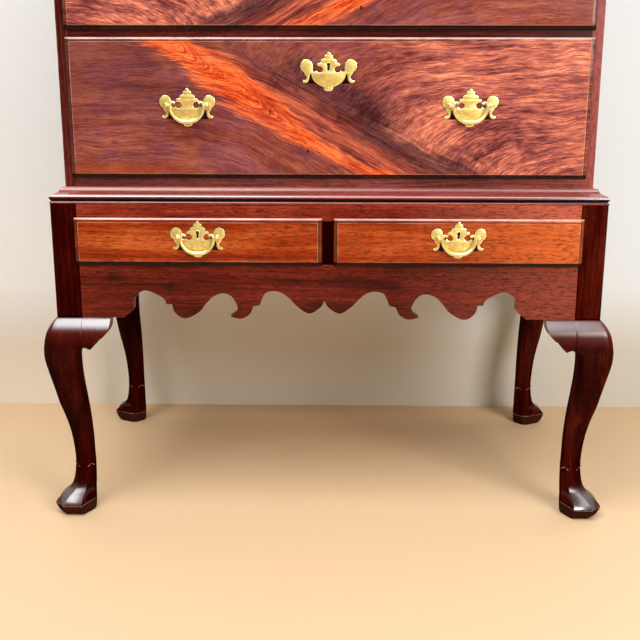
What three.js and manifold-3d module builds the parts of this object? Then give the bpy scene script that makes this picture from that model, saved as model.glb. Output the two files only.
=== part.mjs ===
// A walnut highboy: a low base on four cabriole legs with two drawers side by side, and a separate
// upper case with three long drawers and two short ones. Millimetres, +Z up, the front faces -Y.
import * as THREE from 'three';
import { mergeVertices } from 'three/addons/utils/BufferGeometryUtils.js';
import Module from 'manifold-3d';

const wasm = await Module();
wasm.setup();

// Base case
const baseWidth = 1020;
const baseDepth = 561;
const legHeight = 399;
const postSize = 48;
const boardThickness = 20;
const railThickness = 22;
const backThickness = 15;
const backSetIn = 2;
const backBoardLow = 432;
const lowerOpening = 81.5;
const topRailHeight = 31;
const topRailDepth = 34;
const apronHeight = 102.5;
const scrollRise = 52;
const scrollShift = -6;
const skirtRise = 46;
const dividerWidth = 31.3;
const kneeBlockRise = 57.5;
const kneeBlockThickness = 24;

// Joints between pieces
const fitGap = 0.3;
const tenonLength = 22;
const tenonThickness = 10;
const tenonSetBack = 6;
const tenonShoulder = 14;
const housingDepth = 8;
const mergeDepth = 2;
const overrun = 6;
const drawerTailPitch = 70;
const caseTailPitch = 104;

// Runners and guides under the drawers
const runnerHeight = 20;
const runnerWidth = 22;
const guideHeight = 30;

// Mouldings
const waistWidth = 24.5;
const waistHeight = 28;
const corniceWidth = 60;
const corniceHeight = 75;
const corniceDrop = 23;

// Upper case
const caseBottomRail = 46;
const bladeHeight = 19;
const bladeDepth = 60;
const bladeNose = 14;
const dustBoardThickness = 10;
const longOpenings = [242, 218, 188];
const shortOpening = 147.8;
const caseTopRail = 45.2;
const caseBackThickness = 12;
const rabbetWidth = 10;

// Drawers
const slideGap = 0.8;
const boxGap = 1.2;
const drawerBackGap = 24.5;
const frontThickness = 14;
const lipOverlap = 5;
const lipUnderlap = 1.5;
const lipProud = 8;
const lipEdge = 3;
const lipStep = 1.5;
const thumbWidth = 7;
const drawerSideThickness = 11;
const drawerSideDrop = 9;
const drawerBackDrop = 14;
const drawerBottomThickness = 7;
const drawerBottomRaise = 9;
const drawerBottomTongue = 5;
const tailLength = 10;

// Pulls
const boring = 72.5;
const plateThickness = 1.6;
const plateHalfWidth = 50.8;
const plateRise = 29;
const plateDrop = 38.5;
const postHeadRadius = 4.6;
const postHeadReach = 12.4;
const pivotReach = 8;
const shaftRadius = 2.2;
const nutRadius = 5;
const nutThickness = 3;
const pinRadius = 1.3;
const pinLength = 4.5;
const bailHalfWidth = 29.4;
const bailDrop = 30;
const bailArmRadius = 2;
const bailMiddleRadius = 3.8;
const basePullRise = 12.5;
const casePullRise = 9;
const longPullSpread = 254;
const escutcheonFall = 49.5;

// Steps round the curves
const cornerSteps = 2;
const scrollSteps = 4;
const thumbSteps = 5;
const bailSteps = 8;
const bailSides = 6;
const postSides = 6;

// Places that follow from the sizes above
const frontY = -baseDepth / 2;
const backY = baseDepth / 2;
const postInnerX = baseWidth / 2 - postSize;
const postInnerY = baseDepth / 2 - postSize;
const apronTop = legHeight + apronHeight;
const topRailLow = apronTop + lowerOpening;
const baseHeight = topRailLow + topRailHeight;
const caseHalfWidth = baseWidth / 2 - waistWidth;
const caseInner = caseHalfWidth - boardThickness;
const caseFrontY = frontY + waistWidth;
const caseLow = baseHeight + fitGap;
const shortLow = longOpenings.reduce((low, height) => low + height + bladeHeight,
  caseLow + caseBottomRail);
const topRailBottom = shortLow + shortOpening;
const caseBoardTop = topRailBottom + caseTopRail;
const caseTop = caseBoardTop + boardThickness;
const caseBackY = backY - caseBackThickness;
const drawerLength = caseBackY - drawerBackGap - caseFrontY;

const walnut = new THREE.MeshStandardMaterial({ color: '#5b1f12', roughness: 0.35, metalness: 0 });
const darkWalnut = new THREE.MeshStandardMaterial({ color: '#3a120c', roughness: 0.3, metalness: 0 });
const figuredWalnut = new THREE.MeshStandardMaterial({ color: '#7a2c14', roughness: 0.3, metalness: 0 });
const warmWalnut = new THREE.MeshStandardMaterial({ color: '#9a4315', roughness: 0.35, metalness: 0 });
const paleWood = new THREE.MeshStandardMaterial({ color: '#b08a58', roughness: 0.7, metalness: 0 });
const brass = new THREE.MeshStandardMaterial({ color: '#c9a44a', roughness: 0.3, metalness: 1 });

// A box between its lowest and its highest corner.
function block(low, high) {
  const sizes = high.map((value, axis) => value - low[axis]);
  const middle = high.map((value, axis) => (value + low[axis]) / 2);
  const geometry = new THREE.BoxGeometry(...sizes);
  geometry.translate(...middle);
  return geometry;
}

// A box that is the same on both sides of the centre plane.
function centredBlock(halfWidth, lowY, highY, lowZ, highZ) {
  return block([-halfWidth, lowY, lowZ], [halfWidth, highY, highZ]);
}

// The triangles that fill a flat ring of points, turned the way the ring runs.
function fillRing(ring) {
  const normal = new THREE.Vector3();
  ring.forEach((point, index) => {
    const next = ring[(index + 1) % ring.length];
    normal.add(new THREE.Vector3().crossVectors(point, next));
  });
  normal.normalize();
  const across = new THREE.Vector3().subVectors(ring[1], ring[0]).normalize();
  const up = new THREE.Vector3().crossVectors(normal, across);
  const flat = ring.map((point) => new THREE.Vector2(point.dot(across), point.dot(up)));
  const faces = THREE.ShapeUtils.triangulateShape(flat, []);
  return faces.map(([a, b, c]) => {
    const area = THREE.ShapeUtils.area([flat[a], flat[b], flat[c]]);
    return area > 0 ? [a, b, c] : [a, c, b];
  });
}

// A closed body through rings that all have the same number of points.
function loft(rings) {
  const count = rings[0].length;
  const last = (rings.length - 1) * count;
  const faces = [];
  rings.slice(1).forEach((_, ring) => {
    for (let side = 0; side < count; side += 1) {
      const a = ring * count + side;
      const b = ring * count + ((side + 1) % count);
      faces.push([a, b, b + count], [a, b + count, a + count]);
    }
  });
  fillRing(rings[0]).forEach(([a, b, c]) => faces.push([a, c, b]));
  fillRing(rings.at(-1)).forEach(([a, b, c]) => faces.push([a + last, b + last, c + last]));
  const points = rings.flat();
  let volume = 0;
  faces.forEach(([a, b, c]) => {
    volume += points[a].dot(new THREE.Vector3().crossVectors(points[b], points[c]));
  });
  const turned = volume > 0 ? faces : faces.map(([a, b, c]) => [a, c, b]);
  const geometry = new THREE.BufferGeometry().setFromPoints(points);
  geometry.setIndex(turned.flat());
  return geometry;
}

// A prism with a flat outline, from one place to another along an axis.
function prism(outline, low, high, toPoint) {
  return loft([low, high].map((along) => outline.map(([u, v]) => toPoint(u, v, along))));
}
const alongX = (u, v, along) => new THREE.Vector3(along, u, v);
const alongY = (u, v, along) => new THREE.Vector3(u, along, v);

// Joining and cutting of closed bodies.
function solid(geometry) {
  const bare = geometry.clone();
  bare.deleteAttribute('normal');
  bare.deleteAttribute('uv');
  const merged = mergeVertices(bare);
  const vertProperties = new Float32Array(merged.attributes.position.array);
  const triVerts = new Uint32Array(merged.index.array);
  return new wasm.Manifold(new wasm.Mesh({ numProp: 3, vertProperties, triVerts }));
}

function surface(body) {
  const { vertProperties, triVerts, numProp } = body.getMesh();
  const geometry = new THREE.BufferGeometry();
  geometry.setAttribute('position', new THREE.BufferAttribute(vertProperties, numProp));
  geometry.setIndex(new THREE.BufferAttribute(triVerts, 1));
  return geometry;
}

function weld(...geometries) {
  return surface(geometries.map(solid).reduce((whole, piece) => whole.add(piece)));
}

function carve(geometry, ...tools) {
  return surface(tools.map(solid).reduce((whole, tool) => whole.subtract(tool), solid(geometry)));
}

function common(first, second) {
  return surface(solid(first).intersect(solid(second)));
}

function addPiece(group, name, geometry, material) {
  geometry.computeVertexNormals();
  const mesh = new THREE.Mesh(geometry, material.clone());
  mesh.name = name;
  group.add(mesh);
  return mesh;
}

// Dovetails in a row between two places. Each widens from its root to its tip. A socket is the
// same shape grown by the fit and run on past the tip.
const tailRootShare = 0.5;
const tailTipShare = 0.68;
function tailRow(row, toPoint, growth) {
  const count = Math.max(2, Math.round((row.end - row.start) / row.pitch));
  const pitch = (row.end - row.start) / count;
  const depth = row.tip - row.root;
  const halfAt = (share) => (
    (pitch / 2) * (tailRootShare + (tailTipShare - tailRootShare) * share) + growth);
  const rootShare = -row.bury / Math.abs(depth);
  const tipShare = 1 + row.beyond / Math.abs(depth);
  return Array.from({ length: count }, (_, index) => {
    const centre = row.start + (index + 0.5) * pitch;
    const outline = [
      [centre - halfAt(rootShare), row.root + depth * rootShare],
      [centre + halfAt(rootShare), row.root + depth * rootShare],
      [centre + halfAt(tipShare), row.root + depth * tipShare],
      [centre - halfAt(tipShare), row.root + depth * tipShare],
    ];
    return prism(outline, row.low, row.high, toPoint);
  });
}

// Cabriole leg. Each level gives the height as a share of the leg height, then as shares of the
// post: the outer face, the inner face, the corner at the toe, the two side corners across and
// along the foot, the corner at the heel, and at the end how round the corners are, from flat
// facets at 0 to arcs at 1.
const legLevelShares = [
  [0, -0.208, 0.948, 0.19, 0.3, 0.54, 0.36, 0.04],
  [0.023, -0.414, 0.971, 0.333, 0.354, 0.75, 0.354, 0],
  [0.056, -0.537, 0.985, 0.437, 0.375, 0.833, 0.35, 0],
  [0.073, -0.469, 0.985, 0.417, 0.375, 0.77, 0.343, 0],
  [0.097, -0.276, 0.986, 0.367, 0.354, 0.573, 0.333, 0],
  [0.116, -0.065, 0.99, 0.32, 0.314, 0.406, 0.314, 0],
  [0.15, 0.115, 0.998, 0.254, 0.256, 0.27, 0.272, 0],
  [0.2, 0.208, 1, 0.22, 0.23, 0.23, 0.23, 0],
  [0.236, 0.238, 1, 0.21, 0.22, 0.22, 0.22, 0],
  [0.284, 0.241, 1, 0.29, 0.29, 0.29, 0.29, 1],
  [0.378, 0.179, 0.992, 0.29, 0.29, 0.29, 0.29, 1],
  [0.509, -0.017, 0.927, 0.28, 0.27, 0.27, 0.27, 1],
  [0.569, -0.148, 0.879, 0.28, 0.26, 0.26, 0.26, 1],
  [0.627, -0.242, 0.829, 0.29, 0.26, 0.26, 0.26, 1],
  [0.697, -0.363, 0.777, 0.31, 0.26, 0.26, 0.26, 1],
  [0.76, -0.476, 0.752, 0.34, 0.27, 0.27, 0.26, 1],
  [0.803, -0.533, 0.749, 0.36, 0.28, 0.28, 0.25, 1],
  [0.842, -0.547, 0.783, 0.36, 0.27, 0.27, 0.22, 1],
  [0.854, -0.544, 0.992, 0.35, 0.25, 0.25, 0.2, 1],
  [0.9, -0.485, 0.995, 0.31, 0.22, 0.22, 0.1, 1],
  [0.941, -0.382, 0.995, 0.24, 0.18, 0.18, 0.05, 1],
  [0.972, -0.235, 0.995, 0.15, 0.11, 0.11, 0.03, 1],
  [0.992, -0.085, 0.995, 0.07, 0.05, 0.05, 0.02, 1],
  [1, 0.002, 0.998, 0.02, 0.02, 0.02, 0.02, 1],
];

function legRing(levelShares) {
  const [height, outer, inner, toe, across, along, heel] = levelShares;
  const roundShare = levelShares.at(-1);
  const corners = [
    { at: [outer, outer], cut: [toe, toe], inX: 1, inY: 1, start: Math.PI },
    { at: [inner, outer], cut: [across, along], inX: -1, inY: 1, start: Math.PI * 1.5 },
    { at: [inner, inner], cut: [heel, heel], inX: -1, inY: -1, start: 0 },
    { at: [outer, inner], cut: [along, across], inX: 1, inY: -1, start: Math.PI * 0.5 },
  ];
  return corners.flatMap(({ at, cut, inX, inY, start }) => {
    const reach = new THREE.Vector3(...cut, 0).multiplyScalar(postSize);
    const centre = new THREE.Vector3(...at, 0).multiplyScalar(postSize)
      .add(new THREE.Vector3(inX, inY, 0).multiply(reach)).setZ(height * legHeight);
    const onArc = (angle) => new THREE.Vector3(Math.cos(angle), Math.sin(angle), 0)
      .multiply(reach).add(centre);
    const first = onArc(start);
    const last = onArc(start + Math.PI / 2);
    return Array.from({ length: cornerSteps + 1 }, (_, step) => {
      const share = step / cornerSteps;
      const flat = first.clone().lerp(last, share);
      return flat.lerp(onArc(start + (share * Math.PI) / 2), roundShare);
    });
  });
}

// Knee block: its scrolled lower edge, seen from the front, cut to the roll of the knee. The
// points are shares of the post, inward from its outer face, and of the block's height.
const kneeBlockShares = [
  [0.6, 1],
  [2.1, 1],
  [2.102, 0.92],
  [2.096, 0.826],
  [2.077, 0.713],
  [2.031, 0.605],
  [1.958, 0.518],
  [1.883, 0.438],
  [1.775, 0.346],
  [1.654, 0.306],
  [1.577, 0.261],
  [1.554, 0.197],
  [1.485, 0.115],
  [1.406, 0.05],
  [1.327, 0.012],
  [1.252, 0.04],
  [1.188, 0.066],
  [1.125, 0.071],
  [1.042, 0.043],
  [1, 0],
  [0.6, 0],
];

function kneeBlock() {
  const low = legHeight - kneeBlockRise;
  const scroll = kneeBlockShares.map(([along, up]) => [along * postSize, low + up * kneeBlockRise]);
  const knee = legLevelShares.filter(([heightShare]) => heightShare * legHeight > low - overrun);
  const roll = knee.map(([heightShare, outerShare]) => [outerShare * postSize, heightShare * legHeight]);
  roll.push([kneeBlockThickness, legHeight], [kneeBlockThickness, roll[0][1]]);
  const face = prism(scroll, -postSize, postSize, alongY);
  const rolled = prism(roll, 0, postSize * 3, alongX);
  return common(face, rolled);
}

// A geometry mirrored from right to left.
function mirrorX(geometry) {
  return surface(solid(geometry).mirror([1, 0, 0]));
}

function bothSides(geometries) {
  return geometries.flatMap((geometry) => [geometry, mirrorX(geometry)]);
}

function swapXY(geometry) {
  return mirrorX(geometry.clone().rotateZ(Math.PI / 2));
}

// A mortise for a tenon that is a box, open on the side that the tenon comes from.
function mortise(tenon, open) {
  const low = tenon.low.map((value, axis) => value - fitGap - (open[axis] < 0 ? overrun : 0));
  const high = tenon.high.map((value, axis) => value + fitGap + (open[axis] > 0 ? overrun : 0));
  return block(low, high);
}

const frontTenonY = [tenonSetBack, tenonSetBack + tenonThickness];
const sideTenonX = [(boardThickness - tenonThickness) / 2, (boardThickness + tenonThickness) / 2];
const backTenonY = [backSetIn + tenonSetBack / 2, backSetIn + tenonSetBack / 2 + backThickness / 2];
const apronTenonZ = [legHeight + tenonShoulder, apronTop - tenonShoulder];
const railTenonZ = [topRailLow + tenonSetBack, baseHeight - tenonSetBack];
const sideTenonZ = [legHeight + tenonShoulder, baseHeight - tenonShoulder];
const backTenonZ = [backBoardLow + tenonShoulder, baseHeight - tenonShoulder];
const tenonRoot = postSize - tenonLength;

// Tenons in the post's own frame: inward from its outer corner.
function postTenonX([lowY, highY], [lowZ, highZ]) {
  return { low: [tenonRoot, lowY, lowZ], high: [postSize, highY, highZ] };
}
const sideTenon = {
  low: [sideTenonX[0], tenonRoot, sideTenonZ[0]],
  high: [sideTenonX[1], postSize, sideTenonZ[1]],
};

function leg(tenonsAcross, kneeBlocks) {
  const shaft = loft([...legLevelShares.map(legRing), legRing([1 + mergeDepth / legHeight,
    ...legLevelShares.at(-1).slice(1)])]);
  const post = block([0, 0, legHeight], [postSize, postSize, baseHeight]);
  const blank = weld(post, shaft, ...kneeBlocks);
  const across = tenonsAcross.map((tenon) => mortise(tenon, [1, 0, 0]));
  return carve(blank, mortise(sideTenon, [0, 1, 0]), ...across);
}

// Outlines of the scrolled edges. Each run is one smooth curve between two corners, in shares of
// the half width, outward from the centre, and of the rise of the scroll.
const apronScrollShares = [
  [[0, 0.65], [0.015, 0.42], [0.061, 0.18], [0.108, 0.42], [0.143, 0.74], [0.169, 0.92],
    [0.201, 1], [0.236, 0.94], [0.251, 0.74], [0.262, 0.48]],
  [[0.262, 0.48], [0.289, 0.43]],
  [[0.289, 0.43], [0.304, 0.14], [0.342, -0.03], [0.382, 0.06]],
  [[0.382, 0.06], [0.357, 0.24], [0.354, 0.46], [0.377, 0.8], [0.411, 0.91], [0.448, 0.8],
    [0.481, 0.52], [0.509, 0.22], [0.567, -0.03], [0.609, 0.2], [0.619, 0.5]],
  [[0.619, 0.5], [0.641, 0.5]],
  [[0.641, 0.5], [0.656, 0.74], [0.718, 1], [0.752, 0.9], [0.774, 0.66], [0.776, 0.34]],
  [[0.776, 0.34], [0.788, 0.2], [0.818, 0]],
];
const skirtScrollShares = [
  [[0, 0.62], [0.05, 0.24], [0.15, 0.1], [0.25, 0.42], [0.34, 0.86], [0.46, 1], [0.57, 0.86],
    [0.62, 0.55]],
  [[0.62, 0.55], [0.67, 0.55]],
  [[0.67, 0.55], [0.72, 0.18], [0.8, 0]],
];

function scrollPoints(runs, halfWidth, rise) {
  const points = runs.flatMap((run) => {
    const curve = new THREE.SplineCurve(run.map(([along, up]) => (
      new THREE.Vector2(along * halfWidth, up * rise))));
    const steps = (run.length - 1) * (run.length > 2 ? scrollSteps : 1);
    return curve.getPoints(steps).slice(0, -1);
  });
  const [endAlong, endUp] = runs.at(-1).at(-1);
  points.push(new THREE.Vector2(endAlong * halfWidth, endUp * rise));
  return points;
}

// A board whose lower edge is scrolled the same way on both sides of its middle.
function scrolledOutline(runs, halfWidth, low, high, rise, shift) {
  const right = scrollPoints(runs, halfWidth, rise);
  const left = right.slice(1).reverse();
  const edge = [
    ...left.map(({ x, y }) => [shift - x, low + y]),
    ...right.map(({ x, y }) => [shift + x, low + y]),
  ];
  return [[-halfWidth, high], [-halfWidth, low], ...edge, [halfWidth, low], [halfWidth, high]];
}

const highboy = new THREE.Group();
const base = new THREE.Group();
const upperCase = new THREE.Group();
highboy.add(base, upperCase);

// Legs: one post, cabriole and foot each, with the knee blocks glued beside the knee.
const frontKneeBlock = kneeBlock();
const sideKneeBlock = swapXY(frontKneeBlock);
const frontLeg = leg(
  [postTenonX(frontTenonY, apronTenonZ), postTenonX(frontTenonY, railTenonZ)],
  [frontKneeBlock, sideKneeBlock],
);
const rearLeg = leg([postTenonX(backTenonY, backTenonZ)], [sideKneeBlock]);
[-1, 1].forEach((side) => {
  const sideName = side < 0 ? 'left' : 'right';
  const front = addPiece(base, `leg_front_${sideName}`, frontLeg.clone(), darkWalnut);
  front.position.set((side * baseWidth) / 2, frontY, 0);
  front.scale.set(-side, 1, 1);
  const rear = addPiece(base, `leg_rear_${sideName}`, rearLeg.clone(), darkWalnut);
  rear.position.set((side * baseWidth) / 2, backY, 0);
  rear.scale.set(-side, -1, 1);
});

// Tenons that stand out on both ends of a piece between the posts.
function endTenons([lowY, highY], [lowZ, highZ]) {
  const tip = postInnerX + tenonLength;
  const root = postInnerX - mergeDepth;
  return [-1, 1].map((side) => block(
    [Math.min(side * root, side * tip), lowY, lowZ],
    [Math.max(side * root, side * tip), highY, highZ],
  ));
}

// The stub tenons of the divider, up into the rail and down into the apron.
const dividerTenon = {
  low: [-dividerWidth / 4, frontY + tenonSetBack, apronTop - tenonShoulder],
  high: [dividerWidth / 4, frontY + tenonSetBack + tenonThickness, topRailLow + tenonShoulder],
};

const frontTenonPlace = frontTenonY.map((value) => frontY + value);
const apronOutline = scrolledOutline(apronScrollShares, postInnerX, legHeight, apronTop,
  scrollRise, scrollShift);
const apronBoard = prism(apronOutline, frontY, frontY + railThickness, alongY);
addPiece(base, 'front_apron', carve(
  weld(apronBoard, ...endTenons(frontTenonPlace, apronTenonZ)),
  mortise(dividerTenon, [0, 0, 1]),
), walnut);

const topRail = centredBlock(postInnerX, frontY, frontY + topRailDepth, topRailLow, baseHeight);
addPiece(base, 'base_top_rail', carve(
  weld(topRail, ...endTenons(frontTenonPlace, railTenonZ)),
  mortise(dividerTenon, [0, 0, -1]),
), walnut);

const dividerBody = centredBlock(dividerWidth / 2, frontY, frontY + railThickness, apronTop, topRailLow);
addPiece(base, 'base_divider', weld(dividerBody, block(dividerTenon.low, dividerTenon.high)), walnut);

const backFaceY = backY - backSetIn - backThickness;
const backBoard = centredBlock(postInnerX, backFaceY, backY - backSetIn, backBoardLow, baseHeight);
const backTenonPlace = backTenonY.map((value) => backY - value).reverse();
addPiece(base, 'base_back', weld(backBoard, ...endTenons(backTenonPlace, backTenonZ)), paleWood);

// Sides with a scrolled skirt. Inside, each carries the guide and the runner of its drawer.
const runnerTop = apronTop - fitGap;
const runnerLow = runnerTop - runnerHeight;
const runnerFrontY = frontY + railThickness;
function baseSide() {
  const outer = baseWidth / 2;
  const inner = outer - boardThickness;
  const outline = scrolledOutline(skirtScrollShares, postInnerY, legHeight, baseHeight, skirtRise, 0);
  const board = prism(outline, inner, outer, alongX);
  const tenonReach = postInnerY + tenonLength;
  const tenon = block(
    [outer - sideTenonX[1], -tenonReach, sideTenonZ[0]],
    [outer - sideTenonX[0], tenonReach, sideTenonZ[1]],
  );
  const guide = block(
    [postInnerX, -postInnerY + fitGap, runnerLow],
    [inner + mergeDepth, postInnerY - fitGap, runnerTop + guideHeight],
  );
  const runner = block(
    [postInnerX - runnerWidth, runnerFrontY, runnerLow],
    [postInnerX - fitGap, backFaceY, runnerTop],
  );
  const bridge = block(
    [postInnerX - runnerWidth / 2, -postInnerY + fitGap, runnerLow],
    [postInnerX + mergeDepth, postInnerY - fitGap, runnerTop],
  );
  return weld(board, tenon, guide, runner, bridge);
}
const baseSideShape = baseSide();
[-1, 1].forEach((side) => {
  const name = side < 0 ? 'base_side_left' : 'base_side_right';
  const piece = addPiece(base, name, baseSideShape.clone(), darkWalnut);
  piece.scale.set(side, 1, 1);
});

const centreRunner = centredBlock(dividerWidth / 2 + runnerWidth, runnerFrontY, backFaceY,
  runnerLow, runnerTop);
const centreGuide = centredBlock(dividerWidth / 2 - slideGap, runnerFrontY, backFaceY,
  runnerLow + mergeDepth, runnerTop + guideHeight);
addPiece(base, 'base_runner', weld(centreRunner, centreGuide), paleWood);

// Mouldings that run round the front and both sides, mitred at the front corners. A profile gives
// shares of the moulding's width, outward from the case, and of its height.
const waistProfileShares = [
  [0.02, 0],
  [1.03, 0],
  [1.035, 0.06],
  [1, 0.115],
  [0.93, 0.14],
  [0.92, 0.175],
  [0.97, 0.205],
  [1.025, 0.27],
  [1.04, 0.35],
  [1.015, 0.44],
  [0.95, 0.51],
  [0.86, 0.55],
  [0.82, 0.55],
  [0.67, 0.6],
  [0.54, 0.655],
  [0.44, 0.72],
  [0.4, 0.745],
  [0.395, 0.81],
  [0.355, 0.895],
  [0.28, 0.955],
  [0.18, 0.99],
  [0.1, 1],
  [0.02, 1],
];
const corniceProfileShares = [
  [0.005, 0],
  [0.09, 0],
  [0.12, 0.04],
  [0.09, 0.085],
  [0.1, 0.16],
  [0.15, 0.3],
  [0.26, 0.44],
  [0.42, 0.55],
  [0.56, 0.58],
  [0.56, 0.63],
  [0.63, 0.63],
  [0.72, 0.66],
  [0.83, 0.74],
  [0.88, 0.83],
  [1, 0.84],
  [1, 1],
  [0.005, 1],
];

function casedMoulding(profileShares, width, height, low) {
  const corners = [[-1, 0], [-1, 1], [1, 1], [1, 0]];
  return loft(corners.map(([side, front]) => profileShares.map(([out, up]) => {
    const y = front ? caseFrontY - out * width : backY;
    return new THREE.Vector3(side * (caseHalfWidth + out * width), y, low + up * height);
  })));
}
addPiece(base, 'waist_moulding',
  casedMoulding(waistProfileShares, waistWidth, waistHeight, baseHeight), darkWalnut);
addPiece(upperCase, 'cornice',
  casedMoulding(corniceProfileShares, corniceWidth, corniceHeight, caseBoardTop - corniceDrop), darkWalnut);

// Openings of the upper case, from the bottom up.
const openings = [];
let openingLow = caseLow + caseBottomRail;
longOpenings.forEach((height, index) => {
  openings.push({ name: `long_${index + 1}`, low: openingLow, height });
  openingLow += height + bladeHeight;
});

// A board that is housed in both case sides, except for its nose at the front.
function housedBoard(low, high, depthY, thickness) {
  const nose = centredBlock(caseInner, caseFrontY, caseFrontY + bladeNose + mergeDepth, low, high);
  const blade = centredBlock(caseInner + housingDepth - fitGap, caseFrontY + bladeNose,
    caseFrontY + bladeDepth, low, high);
  const board = centredBlock(caseInner + housingDepth - fitGap,
    caseFrontY + bladeDepth - mergeDepth, depthY, high - thickness, high);
  return [nose, blade, board];
}

function housings(low, high, depthY, thickness) {
  const deep = caseInner + housingDepth;
  const blade = centredBlock(deep, caseFrontY + bladeNose - fitGap,
    caseFrontY + bladeDepth + fitGap, low - fitGap, high + fitGap);
  const board = centredBlock(deep, caseFrontY + bladeDepth - fitGap, depthY + fitGap,
    high - thickness - fitGap, high + fitGap);
  return [blade, board];
}

const inCaseBackY = caseBackY - fitGap;
const bladeLevels = openings.map(({ low, height }) => [low + height, low + height + bladeHeight]);
const bottomLevel = [caseLow, caseLow + caseBottomRail];
const dividerTenonTop = {
  low: [-dividerWidth / 4, caseFrontY + tenonSetBack, shortLow - tenonThickness],
  high: [dividerWidth / 4, caseFrontY + tenonSetBack + tenonThickness, topRailBottom + tenonShoulder],
};

bladeLevels.forEach(([low, high], index) => {
  const whole = weld(...housedBoard(low, high, inCaseBackY, dustBoardThickness));
  const carriesDivider = index === bladeLevels.length - 1;
  const piece = carriesDivider ? carve(whole, mortise(dividerTenonTop, [0, 0, 1])) : whole;
  addPiece(upperCase, `drawer_blade_${index + 1}`, piece, walnut);
});

const bottomFront = centredBlock(caseInner, caseFrontY, caseFrontY + railThickness, ...bottomLevel);
const bottomBoard = housedBoard(bottomLevel[1] - boardThickness, bottomLevel[1], inCaseBackY,
  boardThickness);
addPiece(upperCase, 'case_bottom', weld(bottomFront, ...bottomBoard), walnut);

const topRailStub = centredBlock(caseInner + housingDepth - fitGap, caseFrontY + tenonSetBack,
  caseFrontY + tenonSetBack + tenonThickness, topRailBottom + tenonShoulder, caseBoardTop - tenonSetBack);
const topRailBody = centredBlock(caseInner, caseFrontY, caseFrontY + railThickness,
  topRailBottom, caseBoardTop);
addPiece(upperCase, 'case_top_rail', carve(
  weld(topRailBody, topRailStub),
  mortise(dividerTenonTop, [0, 0, -1]),
), walnut);

const dividerUpright = centredBlock(dividerWidth / 2, caseFrontY, caseFrontY + railThickness,
  shortLow, topRailBottom);
const topGuide = centredBlock(dividerWidth / 2 - slideGap, caseFrontY + railThickness - mergeDepth,
  inCaseBackY, shortLow, shortLow + guideHeight);
addPiece(upperCase, 'top_divider', weld(
  dividerUpright,
  topGuide,
  block(dividerTenonTop.low, dividerTenonTop.high),
), walnut);

const backHalf = caseInner + rabbetWidth - fitGap;
addPiece(upperCase, 'case_back',
  centredBlock(backHalf, caseBackY, backY, caseLow + boardThickness, caseBoardTop), paleWood);

// Case sides, dovetailed up into the top board, and housed for the boards between them.
const caseTailRow = {
  start: caseFrontY + tenonSetBack,
  end: caseBackY - tenonSetBack,
  root: caseBoardTop,
  tip: caseTop,
  bury: mergeDepth,
  beyond: 0,
  pitch: caseTailPitch,
  low: caseInner,
  high: caseHalfWidth,
};
function caseSide() {
  const board = block([caseInner, caseFrontY, caseLow], [caseHalfWidth, backY, caseBoardTop]);
  const whole = weld(board, ...tailRow(caseTailRow, alongX, 0));
  const grooves = [
    ...bladeLevels.flatMap(([low, high]) => housings(low, high, inCaseBackY, dustBoardThickness)),
    ...housings(bottomLevel[1] - boardThickness, bottomLevel[1], inCaseBackY, boardThickness),
    centredBlock(caseInner + rabbetWidth, caseBackY - fitGap, backY + overrun,
      caseLow - overrun, caseBoardTop),
    centredBlock(caseInner + housingDepth, caseFrontY + tenonSetBack - fitGap,
      caseFrontY + tenonSetBack + tenonThickness + fitGap,
      topRailBottom + tenonShoulder - fitGap, caseBoardTop - tenonSetBack + fitGap),
  ];
  return carve(whole, ...grooves);
}
const caseSideShape = caseSide();
const topSockets = tailRow({ ...caseTailRow, bury: overrun, beyond: overrun,
  low: caseInner - fitGap, high: caseHalfWidth + overrun }, alongX, fitGap);
[-1, 1].forEach((side) => {
  const name = side < 0 ? 'case_side_left' : 'case_side_right';
  const piece = addPiece(upperCase, name, caseSideShape.clone(), darkWalnut);
  piece.scale.set(side, 1, 1);
});
const topBoard = centredBlock(caseHalfWidth, caseFrontY, backY, caseBoardTop, caseTop);
addPiece(upperCase, 'case_top', carve(topBoard, ...bothSides(topSockets)), walnut);

// Pull plates and escutcheons share one outline, half of it here, from the tip down and round the
// ear: shares of the half width, and of the rise above the posts or of the drop below them.
const plateOutlineShares = [
  [0, 1],
  [0.07, 0.79],
  [0.13, 0.75],
  [0.14, 0.62],
  [0.2, 0.58],
  [0.22, 0.48],
  [0.27, 0.44],
  [0.28, 0.36],
  [0.36, 0.3],
  [0.34, 0.16],
  [0.24, 0.1],
  [0.21, -0.05],
  [0.28, -0.15],
  [0.42, -0.07],
  [0.54, -0.05],
  [0.56, 0.25],
  [0.66, 0.53],
  [0.83, 0.58],
  [1, 0.33],
  [0.98, 0],
  [0.76, -0.33],
  [0.77, -0.46],
  [0.9, -0.55],
  [0.73, -0.65],
  [0.67, -0.55],
  [0.57, -0.62],
  [0.29, -0.68],
  [0.22, -0.84],
  [0.1, -0.97],
];
const plateHalf = plateOutlineShares.map(([out, up]) => (
  [out * plateHalfWidth, up * (up > 0 ? plateRise : plateDrop)]));
const plateOutline = [
  ...plateHalf,
  ...plateHalf.slice(1).reverse().map(([out, up]) => [-out, up]),
];
const plate = prism(plateOutline, -plateThickness, 0, alongY);

// A turned body along the drawer's depth: radius against the distance in front of the face.
function turnedForward(profile, sides) {
  const points = profile.map(([radius, reach]) => new THREE.Vector2(radius, -reach));
  return new THREE.LatheGeometry(points.reverse(), sides);
}

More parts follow.
